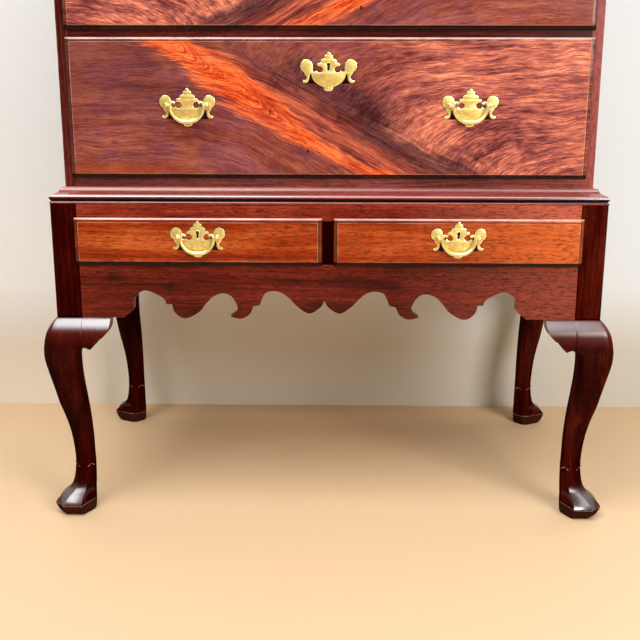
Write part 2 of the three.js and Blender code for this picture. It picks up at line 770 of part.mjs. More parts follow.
// One post of a pull: a turned head in front, a threaded shaft through the drawer and a nut.
const throughDepth = lipProud + frontThickness;
const nutPlace = -plateThickness - throughDepth - fitGap;
const postProfile = [
  [0, nutPlace - nutThickness],
  [nutRadius, nutPlace - nutThickness],
  [nutRadius, nutPlace],
  [shaftRadius, nutPlace],
  [shaftRadius, 0],
  [postHeadRadius * 0.7, 0],
  [postHeadRadius, pivotReach * 0.65],
  [postHeadRadius, pivotReach * 1.35],
  [0, postHeadReach],
];
const bailPivotY = -plateThickness - pivotReach;

function pullPlate() {
  const posts = [-1, 1].map((side) => {
    const post = turnedForward(postProfile, postSides);
    post.translate((side * boring) / 2, -plateThickness, 0);
    return post;
  });
  const eye = new THREE.CylinderGeometry(pinRadius + fitGap, pinRadius + fitGap, boring, postSides);
  eye.rotateZ(Math.PI / 2);
  eye.translate(0, bailPivotY, 0);
  return carve(weld(plate, ...posts), eye);
}

// The bail: pins turned outward into the post heads, and a loop that swells in its middle.
function bail() {
  const reach = boring / 2 - fitGap;
  const stations = [
    { x: -reach, z: 0, radius: pinRadius, angle: 0 },
    { x: -reach + pinLength, z: 0, radius: pinRadius, angle: 0 },
  ];
  for (let step = 0; step <= bailSteps; step += 1) {
    const turn = (Math.PI * step) / bailSteps;
    const swell = Math.sin(turn) ** 2;
    stations.push({
      x: -bailHalfWidth * Math.cos(turn),
      z: -bailArmRadius - (bailDrop - bailArmRadius) * Math.sin(turn),
      radius: bailArmRadius + (bailMiddleRadius - bailArmRadius) * swell,
      angle: turn - Math.PI / 2,
    });
  }
  stations.push(
    { x: reach - pinLength, z: 0, radius: pinRadius, angle: 0 },
    { x: reach, z: 0, radius: pinRadius, angle: 0 },
  );
  return loft(stations.map(({ x, z, radius, angle }) => (
    Array.from({ length: bailSides }, (_, side) => {
      const round = (Math.PI * 2 * side) / bailSides;
      const up = radius * Math.cos(round);
      return new THREE.Vector3(x - up * Math.sin(angle), radius * Math.sin(round), z + up * Math.cos(angle));
    }))));
}
const pullPlateShape = pullPlate();
const bailShape = bail();

function addPull(drawer, name, x, z) {
  const pull = new THREE.Group();
  pull.position.set(x, -lipProud, z);
  drawer.add(pull);
  addPiece(pull, `pull_plate_${name}`, pullPlateShape.clone(), brass);
  const loop = addPiece(pull, `bail_${name}`, bailShape.clone(), brass);
  loop.position.set(0, bailPivotY, 0);
}

// Drawers. The frame of each is the middle of its opening's lower edge, on the face of the case.
const socketBottom = frontThickness - tailLength;
function drawerTails(width, height) {
  const outer = width / 2 - boxGap;
  return {
    start: slideGap,
    end: height - drawerSideDrop,
    root: frontThickness + fitGap,
    tip: socketBottom,
    bury: mergeDepth,
    beyond: 0,
    pitch: drawerTailPitch,
    low: outer - drawerSideThickness,
    high: outer,
  };
}
const acrossDrawer = (u, v, along) => new THREE.Vector3(along, v, u);

function drawerFront(width, height, pullPlaces) {
  const rect = (halfWidth, low, high, y) => [
    new THREE.Vector3(-halfWidth, y, low),
    new THREE.Vector3(halfWidth, y, low),
    new THREE.Vector3(halfWidth, y, high),
    new THREE.Vector3(-halfWidth, y, high),
  ];
  const lipHalf = width / 2 + lipOverlap;
  const lipped = (inset, y) => rect(lipHalf - inset, inset - lipUnderlap, height + lipOverlap - inset, y);
  const blockRect = (y) => rect(width / 2 - slideGap, slideGap, height - slideGap, y);
  const rings = [blockRect(frontThickness), blockRect(-fitGap), lipped(0, -fitGap), lipped(0, -lipEdge)];
  for (let step = 1; step <= thumbSteps; step += 1) {
    const turn = (Math.PI / 2) * (step / thumbSteps);
    const rise = (lipProud - lipStep - lipEdge) * Math.sin(turn);
    rings.push(lipped(thumbWidth * (1 - Math.cos(turn)), -lipEdge - rise));
  }
  rings.push(lipped(thumbWidth, -lipProud));
  const tails = drawerTails(width, height);
  const sockets = tailRow({ ...tails, bury: overrun, beyond: fitGap,
    low: tails.low - fitGap, high: width / 2 + overrun }, acrossDrawer, fitGap);
  const bottomGroove = centredBlock(tails.low + fitGap, frontThickness - drawerBottomTongue - fitGap,
    frontThickness + overrun, drawerBottomRaise - fitGap,
    drawerBottomRaise + drawerBottomThickness + fitGap);
  const holes = pullPlaces.flatMap(([x, z]) => [-1, 1].map((side) => {
    const hole = turnedForward([
      [0, -throughDepth - overrun],
      [shaftRadius + fitGap, -throughDepth - overrun],
      [shaftRadius + fitGap, overrun],
      [0, overrun],
    ], postSides);
    hole.translate(x + (side * boring) / 2, -lipProud, z);
    return hole;
  }));
  return carve(loft(rings), ...bothSides(sockets), bottomGroove, ...holes);
}

function drawerBox(width, height) {
  const tails = drawerTails(width, height);
  const sideFront = frontThickness + fitGap;
  const side = block([tails.low, sideFront, slideGap], [tails.high, drawerLength, height - drawerSideDrop]);
  const back = centredBlock(tails.low + mergeDepth, drawerLength - drawerSideThickness - mergeDepth,
    drawerLength - mergeDepth, drawerBottomRaise + mergeDepth, height - drawerBackDrop);
  const bottom = centredBlock(tails.low + mergeDepth, sideFront, drawerLength - mergeDepth * 2,
    drawerBottomRaise, drawerBottomRaise + drawerBottomThickness);
  const tongue = centredBlock(tails.low, frontThickness - drawerBottomTongue, sideFront + mergeDepth,
    drawerBottomRaise, drawerBottomRaise + drawerBottomThickness);
  const tailed = bothSides([side, ...tailRow(tails, acrossDrawer, 0)]);
  return weld(bottom, tongue, back, ...tailed);
}

function addDrawer(parent, name, place, width, height, pulls, frontMaterial) {
  const drawer = new THREE.Group();
  drawer.position.set(...place);
  parent.add(drawer);
  const pullPlaces = pulls.map(({ x, z }) => [x, z]);
  addPiece(drawer, `${name}_front`, drawerFront(width, height, pullPlaces), frontMaterial);
  addPiece(drawer, `${name}_box`, drawerBox(width, height), paleWood);
  pulls.forEach((pull) => addPull(drawer, pull.name, pull.x, pull.z));
  return drawer;
}

const baseOpeningWidth = postInnerX - dividerWidth / 2;
const shortWidth = caseInner - dividerWidth / 2;
[-1, 1].forEach((side) => {
  const sideName = side < 0 ? 'left' : 'right';
  const lowerX = (side * (postInnerX + dividerWidth / 2)) / 2;
  const upperX = (side * (caseInner + dividerWidth / 2)) / 2;
  addDrawer(base, `lower_${sideName}`, [lowerX, frontY, apronTop], baseOpeningWidth, lowerOpening,
    [{ name: `lower_${sideName}`, x: 0, z: lowerOpening / 2 + basePullRise }], warmWalnut);
  addDrawer(upperCase, `top_${sideName}`, [upperX, caseFrontY, shortLow], shortWidth, shortOpening,
    [{ name: `top_${sideName}`, x: 0, z: shortOpening / 2 + casePullRise }], figuredWalnut);
});

openings.forEach(({ name, low, height }) => {
  const pulls = [-1, 1].map((side) => ({
    name: `${name}_${side < 0 ? 'left' : 'right'}`,
    x: side * longPullSpread,
    z: height / 2 + casePullRise,
  }));
  const drawer = addDrawer(upperCase, name, [0, caseFrontY, low], caseInner * 2, height, pulls,
    figuredWalnut);
  const escutcheon = addPiece(drawer, `escutcheon_${name}`, plate.clone(), brass);
  escutcheon.position.set(0, -lipProud, height - escutcheonFall);
});

// The origin is on the floor under the middle of the whole piece.
highboy.updateMatrixWorld(true);
const extent = new THREE.Box3().setFromObject(highboy, true);
highboy.position.y = -(extent.min.y + extent.max.y) / 2;

export default highboy;
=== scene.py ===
import math

import bmesh
import bpy
from mathutils import Matrix, Vector


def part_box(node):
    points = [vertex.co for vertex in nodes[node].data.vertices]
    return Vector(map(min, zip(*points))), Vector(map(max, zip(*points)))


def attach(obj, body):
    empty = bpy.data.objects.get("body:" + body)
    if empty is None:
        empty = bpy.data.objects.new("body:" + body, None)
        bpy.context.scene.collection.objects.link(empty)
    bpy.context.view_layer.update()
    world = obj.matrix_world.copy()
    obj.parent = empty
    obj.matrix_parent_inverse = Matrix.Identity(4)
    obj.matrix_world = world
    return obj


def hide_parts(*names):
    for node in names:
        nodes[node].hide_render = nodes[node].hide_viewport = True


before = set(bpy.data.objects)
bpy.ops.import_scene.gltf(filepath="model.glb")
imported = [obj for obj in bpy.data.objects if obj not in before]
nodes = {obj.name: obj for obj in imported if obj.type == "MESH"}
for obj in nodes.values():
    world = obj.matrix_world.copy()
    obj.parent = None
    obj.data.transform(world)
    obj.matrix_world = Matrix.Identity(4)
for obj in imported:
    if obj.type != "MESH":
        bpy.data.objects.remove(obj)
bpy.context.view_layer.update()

# Legs. Each is one piece of walnut: a square post above, a cabriole below with a rolled knee, and a
# foot carved with hollow facets that start in small arches at the ankle. The varnish has gone almost
# black, and is worn to a soft gloss.
base_half = 0.510
front_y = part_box("base_top_rail")[0].y
back_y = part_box("case_back")[1].y
base_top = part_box("base_top_rail")[1].z
post_foot = 399


def paint(red, green, blue):
    return tuple((part / 255) ** 2.2 for part in (red, green, blue))


def tones(*colours):
    return tuple(paint(*colour) for colour in colours)


def wire(node, inputs):
    for label, value in inputs.items():
        socket = node.inputs[label]
        if isinstance(value, bpy.types.NodeSocket):
            node.id_data.links.new(value, socket)
        else:
            socket.default_value = (*value, 1) if socket.type == "RGBA" else value
    return node


def put(tree, kind, inputs=None, **settings):
    node = tree.nodes.new(kind)
    for label, value in settings.items():
        setattr(node, label, value)
    return wire(node, inputs or {})


def tree_of(*values):
    return next(value.id_data for value in values if isinstance(value, bpy.types.NodeSocket))


def sums(operation, *values, clamp=False):
    return put(tree_of(*values), "ShaderNodeMath", dict(enumerate(values)), operation=operation,
               use_clamp=clamp).outputs[0]


def plus(first, second):
    return sums("ADD", first, second)


def minus(first, second):
    return sums("SUBTRACT", first, second)


def times(first, second, clamp=False):
    return sums("MULTIPLY", first, second, clamp=clamp)


def weighted(*pairs):
    parts = [times(value, weight) for value, weight in pairs]
    total = parts[0]
    for part in parts[1:]:
        total = plus(total, part)
    return total


def vectors(operation, *values):
    node = put(tree_of(*values), "ShaderNodeVectorMath", dict(enumerate(values)), operation=operation)
    return node.outputs["Value" if operation in ("DISTANCE", "DOT_PRODUCT", "LENGTH") else "Vector"]


def axes_of(vector):
    return put(vector.id_data, "ShaderNodeSeparateXYZ", {0: vector}).outputs


def spread(value, low, high, to_low=0.0, to_high=1.0):
    return put(value.id_data, "ShaderNodeMapRange", {
        "Value": value, "From Min": low, "From Max": high, "To Min": to_low, "To Max": to_high,
    }).outputs["Result"]


# A line on the surface: full within core of the middle, and gone at reach from it.
def near_to(value, middle, reach, core, strength=1.0):
    return spread(sums("ABSOLUTE", minus(value, middle)), reach, core, 0, strength)


def ramp(value, places, colours):
    node = put(value.id_data, "ShaderNodeValToRGB", {"Fac": value})
    elements = node.color_ramp.elements
    elements[0].position = places[0]
    elements[-1].position = places[-1]
    for place in places[1:-1]:
        elements.new(place)
    for element, colour in zip(elements, colours):
        element.color = (*colour, 1)
    return node.outputs["Color"]


def blend(share, below, above, mode="MIX"):
    return put(tree_of(share, below, above), "ShaderNodeMix", {0: share, 6: below, 7: above},
               data_type="RGBA", blend_type=mode).outputs[2]


def stretched(place, scale, detail, rough=0.55):
    shifted = put(place.id_data, "ShaderNodeMapping", {"Vector": place, "Scale": scale}).outputs[0]
    return put(place.id_data, "ShaderNodeTexNoise", {
        "Vector": shifted, "Scale": 1.0, "Detail": detail, "Roughness": rough,
    }).outputs["Fac"]


def curve_of(value, points, handles="AUTO"):
    low, high = points[0][0], points[-1][0]
    node = put(value.id_data, "ShaderNodeFloatCurve", {"Value": spread(value, low, high)})
    line = node.mapping.curves[0]
    line.points[0].location = (0, points[0][1])
    line.points[1].location = (1, points[-1][1])
    for x, y in points[1:-1]:
        line.points.new((x - low) / (high - low), y)
    for point in line.points:
        point.handle_type = handles
    node.mapping.update()
    return node.outputs[0]


def new_group(name, inputs, outputs):
    tree = bpy.data.node_groups.new(name, "ShaderNodeTree")
    for label, kind, value in inputs:
        socket = tree.interface.new_socket(label, in_out="INPUT", socket_type=f"NodeSocket{kind}")
        socket.default_value = value
    for label, kind in outputs:
        tree.interface.new_socket(label, in_out="OUTPUT", socket_type=f"NodeSocket{kind}")
    return tree, tree.nodes.new("NodeGroupInput").outputs, tree.nodes.new("NodeGroupOutput")


# Wood grain along X: broad streaks, fibres and pores, all bent by the same slow waves.
grain, grain_in, grain_out = new_group(
    "wood_grain", [("Place", "Vector", (0, 0, 0)), ("Wander", "Float", 0.03)],
    [(label, "Float") for label in ("Streak", "Fibre", "Pore", "Fleck", "Patch")])
slow = put(grain, "ShaderNodeMapping", {"Vector": grain_in["Place"], "Scale": (1.9, 6, 6)}).outputs[0]
drift = put(grain, "ShaderNodeTexNoise", {"Vector": slow, "Scale": 1.0, "Detail": 2.0}).outputs["Color"]
sway = put(grain, "ShaderNodeVectorMath", {
    0: vectors("SUBTRACT", drift, (0.5, 0.5, 0.5)), "Scale": grain_in["Wander"]}, operation="SCALE")
bent = vectors("ADD", grain_in["Place"], sway.outputs[0])
wire(grain_out, {
    "Streak": stretched(bent, (1.4, 42, 42), 3),
    "Fibre": stretched(bent, (7, 250, 250), 4, 0.7),
    "Pore": spread(stretched(bent, (36, 900, 900), 1), 0.6, 0.68),
    "Fleck": spread(stretched(bent, (75, 400, 400), 2, 0.6), 0.5, 0.61),
    "Patch": stretched(bent, (5, 17, 17), 4, 0.6),
})


def new_material(name):
    material = bpy.data.materials.new(name)
    material.use_nodes = True
    tree = material.node_tree
    return material, tree.nodes["Principled BSDF"], put(tree, "ShaderNodeTexCoord").outputs["Object"]


def open_material(material):
    tree = material.node_tree
    shader = tree.nodes["Principled BSDF"]
    colour = shader.inputs["Base Color"].links[0].from_socket
    return shader, colour, put(tree, "ShaderNodeTexCoord").outputs["Object"]


def wood_lines(place, axis, wander=0.03):
    turn = {"X": (0, 0, 0), "Y": (0, 0, math.pi / 2), "Z": (0, math.pi / 2, 0)}[axis]
    along = put(place.id_data, "ShaderNodeMapping", {"Vector": place, "Rotation": turn}).outputs[0]
    return put(place.id_data, "ShaderNodeGroup", {"Place": along, "Wander": wander}, node_tree=grain).outputs


def raised(shader, height, strength, depth):
    bump = put(shader.id_data, "ShaderNodeBump", {"Strength": strength, "Distance": depth, "Height": height})
    wire(shader, {"Normal": bump.outputs[0]})


def darker(colour, share):
    return tuple(part * share for part in colour)


# Varnished walnut. The grain runs along the axis given, and the colours go from dark to light. A
# painted sheen, for light from the right, comes in towards the right end of the front, a knot is a
# dark smudge at x and z with a reach, and the box of a squared piece wears its edges.
def walnut_material(name, axis, colours, gloss=0.24, box=None, worn=(0.30, 0.10, 0.05), faded=None,
                    specular=0.15, coat=0.2, coat_ior=1.5, haze=0.14, flecks=0.4, knots=()):
    material, shader, place = new_material(name)
    lines = wood_lines(place, axis)
    mixed = weighted((lines["Streak"], 0.4), (lines["Fibre"], 0.3), (lines["Patch"], 0.3))
    colour = ramp(mixed, (0.4, 0.5, 0.6), colours)
    # Painted sheen: lighter towards the right end, most on the front face.
    if faded:
        across, back, _ = axes_of(place)
        to_right = spread(across, 0.12, 0.44, 0, 0.5)
        to_front = spread(back, -0.25, -0.16, 1, 0.2)
        colour = blend(times(to_right, to_front), colour, faded)
    marks = weighted((lines["Pore"], 0.4), (lines["Fleck"], flecks))
    colour = blend(marks, colour, darker(colours[0], 0.3))
    for x, z, reach in knots:
        far = vectors("DISTANCE", vectors("MULTIPLY", place, (1, 0, 2)), (x, 0, z * 2))
        far = times(far, spread(lines["Fleck"], 0, 1, 1.2, 0.7))
        colour = blend(spread(far, reach, reach * 0.3, 0, 0.7), colour, darker(colours[0], 0.4))
    if box:
        edges = put(place.id_data, "ShaderNodeGroup", {
            "Place": place, "Low": box[0], "High": box[1], "Width": wear_width}, node_tree=wear)
        colour = blend(edges.outputs["Worn"], colour, worn)
    wire(shader, {
        "Base Color": colour, "Roughness": spread(lines["Fibre"], 0.3, 0.7, gloss - 0.05, gloss + 0.08),
        "Specular IOR Level": specular, "Coat Weight": coat, "Coat IOR": coat_ior, "Coat Roughness": haze})
    raised(shader, minus(times(lines["Fibre"], 0.35), lines["Pore"]), 0.12, 0.0006)
    return material


# The knees and the tops of the feet, which cloths and shoes have rubbed, have a high polish. The
# corner over the knee has a painted shadow line, the knee roll a painted sheen, the rim of the foot
# a painted highlight, and the foot below its rim painted light bounced up from the floor.
dark_tones = tones((32, 6, 4), (54, 14, 9), (80, 29, 19))
leg_walnut = walnut_material("leg_walnut", "Z", dark_tones, specular=0, coat_ior=2.15, haze=0.26, flecks=0.25)
leg_shader, leg_plain, on_leg = open_material(leg_walnut)
leg_rise = axes_of(on_leg)[2]
rubbed = curve_of(leg_rise, [
    (0, 0), (0.02, 0), (0.023, 1), (0.045, 0.9), (0.062, 0.1), (0.084, 0.02), (0.3, 0.02), (0.37, 0.05),
    (0.381, 0.6), (0.387, 1), (0.3984, 1), (0.399, 0), (0.7, 0),
], "VECTOR")
facing_up = axes_of(put(leg_walnut.node_tree, "ShaderNodeNewGeometry").outputs["Normal"])[2]
tops = sums("MAXIMUM", spread(facing_up, 0.15, 0.5), spread(leg_rise, 0.1, 0.2))
# Painted sheen: the knee roll below its polish is lighter.
leg_colour = blend(spread(leg_rise, 0.348, 0.376, 0, 0.28), leg_plain, paint(112, 40, 28))
leg_colour = blend(spread(leg_rise, 0.3985, 0.3995), leg_colour, leg_plain)
# Painted light bounced from the floor: the foot below its rim is paler.
leg_colour = blend(spread(leg_rise, 0.026, 0.018, 0, 0.7), leg_colour, paint(60, 38, 30))
# Painted highlight along the rim of the foot, broken up by noise.
rim_highlight_noise = spread(stretched(on_leg, (90, 90, 90), 3), 0.35, 0.65, 0.1, 0.6)
foot_rim_highlight = times(near_to(leg_rise, 0.0228, 0.0012, 0.0005), rim_highlight_noise)
leg_colour = blend(foot_rim_highlight, leg_colour, paint(170, 140, 132))
# Painted shadow: a near-black line in the corner over the knee.
leg_colour = blend(near_to(leg_rise, 0.4004, 0.0014, 0.0008), leg_colour, paint(8, 1, 1))
wire(leg_shader, {"Base Color": leg_colour, "Coat Weight": times(rubbed, tops)})
# The ridges along the ankle arches take a paler, glossy walnut: a painted highlight.
ridge_highlight_walnut = walnut_material(
    "ankle_ridge", "Z", tones((120, 74, 66), (150, 100, 92), (184, 138, 128)), coat=1, coat_ior=2.0)

# Height of each level, then the outer face, the inner face, and how far the corners are cut: at the
# toe, at the sides across and along the foot, and at the heel, all in millimetres inward from the
# post's outer faces. The levels of the foot's edge are crisp, and a smooth line joins the rest.
crisp_levels = 5
leg_levels = (
    (0, -10, 45.5, 9, 14, 26, 17),
    (3, -14.4, 46, 12.4, 15, 30, 17),
    (9, -19.8, 46.6, 16.6, 16.5, 36, 16.5),
    (20.4, -25.2, 47.2, 20.6, 17.5, 40, 16.3),
    (22.5, -25.8, 47.3, 21, 17.5, 40, 16.3),
    (24.4, -25.4, 47.3, 20.8, 17.5, 39.4, 16.2),
    (29, -22.6, 47.3, 20, 17.4, 37, 16),
    (34, -18.2, 47.3, 18.8, 17, 32, 15.8),
    (38.5, -13.5, 47.3, 17.6, 16.5, 27.5, 15.5),
    (42, -8.8, 47.4, 16.6, 15.6, 23.5, 15.2),
    (46.3, -3.1, 47.5, 15.4, 14.6, 19.5, 14.6),
    (52, 1.8, 47.7, 13.8, 13, 16, 13.6),
    (60, 5.6, 47.9, 12.2, 11.8, 13, 12.6),
    (70, 8.4, 48, 11, 11, 11.4, 11.6),
    (80, 10, 48, 10.6, 10.6, 10.6, 10.6),
    (94, 11.4, 48, 10.4, 10.4, 10.4, 10.4),
    (113, 11.6, 48, 13, 13, 13, 13),
    (151, 8.6, 47.6, 13.9, 13.9, 13.9, 13.9),
    (177, 4.8, 46.3, 13.6, 13.4, 13.4, 13.4),
    (203, -0.8, 44.5, 13.4, 13, 13, 13),
    (227, -7.1, 42.2, 13.6, 12.7, 12.7, 12.7),
    (250, -11.6, 39.8, 13.9, 12.5, 12.5, 12.5),
    (278, -17.4, 37.3, 14.9, 12.5, 12.5, 12.5),
    (303, -22.8, 36.1, 16.3, 12.5, 12.5, 12.5),
    (319, -25.5, 35.9, 17, 12, 12, 12),
    (329, -26.2, 36.4, 17.3, 11, 11, 11.5),
    (336, -26.3, 37.6, 17.3, 9.5, 9.5, 10.5),
    (339.5, -26.2, 40, 17.3, 5, 5, 10),
    (341, -26.1, 47.7, 17.2, 2, 2, 9.6),
    (345, -25.6, 47.8, 16.8, 1.6, 1.6, 8),
    (358, -23.4, 47.8, 15, 1.4, 1.4, 5),
    (375, -18.4, 47.8, 11.5, 1.2, 1.2, 2.4),
    (388, -11, 47.8, 7.2, 1, 1, 1.4),
    (395, -5, 47.9, 4, 1, 1, 1),
    (398.2, -1.4, 47.9, 2, 0.9, 0.9, 0.9),
    (post_foot, 0, 48, 0.8, 0.8, 0.8, 0.8),
)


def leg_profile(height):
    index = max(i for i, row in enumerate(leg_levels[:-1]) if row[0] <= height + 1e-6)
    last = len(leg_levels) - 1
    before, low, high, after = (leg_levels[min(max(index + i, 0), last)] for i in (-1, 0, 1, 2))
    span = high[0] - low[0]
    share = (height - low[0]) / span
    square, cube = share ** 2, share ** 3
    values = []
    for column in range(1, 7):
        a, b = low[column], high[column]
        if index < crisp_levels:
            values.append(a + (b - a) * share)
            continue
        rise_low = b - a
        if index > crisp_levels:
            rise_low = (b - before[column]) / (high[0] - before[0]) * span
        rise_high = (after[column] - a) / (after[0] - low[0]) * span if after[0] > high[0] else b - a
        values.append((2 * cube - 3 * square + 1) * a + (cube - 2 * square + share) * rise_low
                      + (3 * square - 2 * cube) * b + (cube - square) * rise_high)
    return values


# Above the arch the leg's corner is round, and below it the corner is one flat facet.
def arch_height(across):
    return 96 - 4.5 * across ** 2


# Around a leg there are eight strips by turns: a corner, then the face beside it.
def leg_point(height, around):
    outer, inner, toe, across_cut, along_cut, heel = leg_profile(height)
    corners = (
        (outer, outer, toe, toe, 1, 1), (inner, outer, across_cut, along_cut, -1, 1),
        (inner, inner, heel, heel, -1, -1), (outer, inner, along_cut, across_cut, 1, -1),
    )
    strip = int(around * 8 + 1e-6)
    facet, share = strip % 8, around * 8 - strip
    across = share * 2 - 1
    corner = corners[facet // 2]
    start = math.pi * (1 + 0.5 * (facet // 2))

    def on_arc(item, angle):
        x, y, reach_x, reach_y, side_x, side_y = item
        return Vector((x + (side_x + math.cos(angle)) * reach_x, y + (side_y + math.sin(angle)) * reach_y))

    if facet % 2:
        following = corners[(facet // 2 + 1) % 4]
        point = on_arc(corner, start + math.pi / 2).lerp(on_arc(following, start + math.pi / 2), share)
    else:
        flat = on_arc(corner, start).lerp(on_arc(corner, start + math.pi / 2), share)
        rounding = min(max((height - arch_height(across)) / 2.2 + 0.5, 0), 1)
        point = flat.lerp(on_arc(corner, start + share * math.pi / 2), rounding)
    middle = Vector(((outer + inner) / 2, (outer + inner) / 2))
    hollow = 1.6 * (1 - across ** 2) * min(max((62 - height) / 30, 0), 1)
    hollow *= min(max(height - 8, 0) / 14, 1)
    if facet in (3, 4, 5):
        hollow = 0
    if facet % 2 == 0:
        hollow -= 0.8 * max(1 - abs(height - arch_height(across)) / 1.3, 0)
    inward = (middle - point).normalized() * hollow
    return Vector((point.x + inward.x, point.y + inward.y, height)) / 1000


arch_step = 1.1
leg_heights = [0, 1.4, 3, 5.6, 9, 14, 20.4, 21.6, 22.5, 23.3, 24.4, 26.4, 29, 31.4, 34, 36.4, 38.5, 40.3, 42]
leg_heights += [44, 46.3, 49, 52, 56, 60, 65, 70, 75, 80] + [82 + arch_step * step for step in range(18)]
leg_heights += [105, 109, 113, 120, 130, 140, 151, 164, 177, 190, 203, 215, 227, 239, 250, 260, 269, 278]
leg_heights += [287, 295, 303, 309, 314, 319, 323, 326, 329, 332, 334, 336, 338, 339.5, 340.3, 341, 343]
leg_heights += [345, 350, 354, 358, 363, 368, 372, 375, 379, 383, 386, 388, 390.5, 393, 395, 396.8, 398.2]
leg_heights += [post_foot, base_top * 1000 - 0.8, base_top * 1000]


def finish_piece(name, mesh_data, material, body, replaced=()):
    bmesh.ops.remove_doubles(mesh_data, verts=mesh_data.verts, dist=2e-6)
    bmesh.ops.recalc_face_normals(mesh_data, faces=mesh_data.faces)
    for face in mesh_data.faces:
        face.smooth = True
    for seam in mesh_data.edges:
        if len(seam.link_faces) == 2:
            seam.smooth = seam.calc_face_angle() < math.radians(32)
    mesh = bpy.data.meshes.new(name)
    mesh_data.to_mesh(mesh)
    mesh_data.free()
    mesh.materials.append(material)
    piece = bpy.data.objects.new(name, mesh)
    bpy.context.scene.collection.objects.link(piece)
    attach(piece, body)
    if replaced:
        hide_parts(*replaced)
    return piece


# Turns a place on a leg, inward from the outer corner of its post, into the place in the frame.
def leg_place(side, rear):
    corner = (side * base_half, back_y if rear else front_y, 0)
    turn = Matrix.Diagonal((-side, -1 if rear else 1, 1, 1))
    return Matrix.Translation(corner) @ turn


legs = [("front_left", -1, False), ("front_right", 1, False), ("rear_left", -1, True),
        ("rear_right", 1, True)]
for name, side, rear in legs:
    shaft = bmesh.new()
    steps = len(leg_heights) - 1
    bmesh.ops.create_grid(shaft, x_segments=64, y_segments=steps, size=1)
    for face in shaft.faces:
        spot = face.calc_center_median()
        height = leg_heights[round((spot.y + 1) / 2 * steps - 0.5)] + arch_step / 2
        across = (spot.x + 1) * 4 % 1 * 2 - 1
        on_corner = int((spot.x + 1) * 4) % 2 == 0
        # Faces along each arch take the second slot, the ridge's painted highlight.
        if on_corner and abs(across) < 0.9 and abs(height - arch_height(across)) < 1.2:
            face.material_index = 1
    for vert in shaft.verts:
        height = leg_heights[round((vert.co.y + 1) / 2 * steps)]
        around = round((vert.co.x + 1) * 32) / 64 % 1
        point = leg_point(min(height, post_foot), around)
        vert.co = (point.x, point.y, point.z if height < post_foot else height / 1000)
        if height == leg_heights[-1]:
            vert.co += (Vector((0.024, 0.024, height / 1000)) - vert.co) * 0.03
    bmesh.ops.remove_doubles(shaft, verts=shaft.verts, dist=2e-6)
    bmesh.ops.holes_fill(shaft, edges=shaft.edges, sides=0)
    bmesh.ops.transform(shaft, matrix=leg_place(side, rear), verts=shaft.verts)
    piece = finish_piece(f"cabriole_{name}", shaft, leg_walnut, "base", [f"leg_{name}"])
    piece.data.materials.append(ridge_highlight_walnut)

# Knee blocks: small walnut brackets glued in beside each knee. Their face follows the roll of the
# knee, and their lower edge is scrolled. The glue line shows as a thin dark seam.
knee_edge = (
    (48, 341.6), (50, 343.9), (52, 345), (54, 345.6), (57, 345.3), (60.1, 343.8), (63.7, 342.2),
    (65.6, 342.7), (67.5, 344.2), (71.3, 348.1), (74.2, 352.6), (75.4, 356.4), (76.4, 358), (79.4, 359.3),
    (85.2, 361.9), (90.4, 366.6), (94, 371.2), (97.5, 376.9), (99.7, 382.9), (100.6, 389), (100.9, 394.4),
    (100.8, 398.6),
)
block_top = 398.9
block_back = 0.0218
swap_sides = Matrix(((0, 1, 0, 0), (1, 0, 0, 0), (0, 0, 1, 0), (0, 0, 0, 1)))
for name, side, rear in legs:
    for which in ("side",) if rear else ("front", "side"):
        bracket = bmesh.new()
        columns = len(knee_edge) - 1
        bmesh.ops.create_grid(bracket, x_segments=columns, y_segments=16, size=1)
        for vert in bracket.verts:
            along, low = knee_edge[round((vert.co.x + 1) / 2 * columns)]
            height = low + (block_top - low) * (vert.co.y + 1) / 2
            out = leg_profile(min(height, block_top))[0] + 0.15
            vert.co = Vector((along, out, height)) / 1000
        made = bmesh.ops.extrude_face_region(bracket, geom=bracket.faces[:])["geom"]
        for vert in [item for item in made if isinstance(item, bmesh.types.BMVert)]:
            vert.co.y = block_back
        turn = leg_place(side, rear) @ swap_sides if which == "side" else leg_place(side, rear)
        bmesh.ops.transform(bracket, matrix=turn, verts=bracket.verts)
        finish_piece(f"knee_block_{name}_{which}", bracket, leg_walnut, "base")


# Front frame of the base: the scrolled apron, the rail over the drawers and the upright between
# them. All are walnut, tenoned together and into the posts, with the grain along each piece. The
# apron has two knots at its left end.
def dress(node, material):
    nodes[node].data.materials.clear()
    nodes[node].data.materials.append(material)


# Wear along the edges of a squared piece, broken up by noise: it shows where a point is near two
# faces of the piece's box at once.
wear_width = 0.0022
box_inputs = [(label, "Vector", (0, 0, 0)) for label in ("Place", "Low", "High")]
wear, wear_in, wear_out = new_group(
    "edge_wear", box_inputs + [("Width", "Float", wear_width)], [("Worn", "Float")])
near_x, near_y, near_z = axes_of(vectors(
    "MINIMUM", vectors("SUBTRACT", wear_in["Place"], wear_in["Low"]),
    vectors("SUBTRACT", wear_in["High"], wear_in["Place"])))
second_nearest = sums("MAXIMUM", sums("MINIMUM", near_x, near_y),
                      sums("MINIMUM", sums("MAXIMUM", near_x, near_y), near_z))
on_edge = spread(sums("DIVIDE", second_nearest, wear_in["Width"]), 1.0, 0.0)
patchy = spread(stretched(wear_in["Place"], (55, 55, 55), 4, 0.7), 0.42, 0.62)
wire(wear_out, {"Worn": times(on_edge, patchy, clamp=True)})
# The apron and the top rail take a painted sheen towards their right ends.
for node, axis, colours, faded, coat, knots in (
        ("front_apron", "X", tones((56, 8, 4), (92, 26, 16), (124, 48, 34)), paint(156, 78, 62), 0.2,
         ((-0.399, 0.474, 0.026), (-0.295, 0.459, 0.022))),
        ("base_top_rail", "X", tones((86, 20, 12), (122, 42, 28), (158, 70, 50)), paint(214, 116, 92),
         0.2, ()),
        ("base_divider", "Z", tones((26, 2, 2), (38, 8, 6), (54, 16, 12)), None, 0, ())):
    dress(node, walnut_material(
        node, axis, colours, gloss=0.3, box=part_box(node), worn=paint(150, 70, 50), faded=faded,
        specular=coat / 2, coat=coat, flecks=0.55, knots=knots))
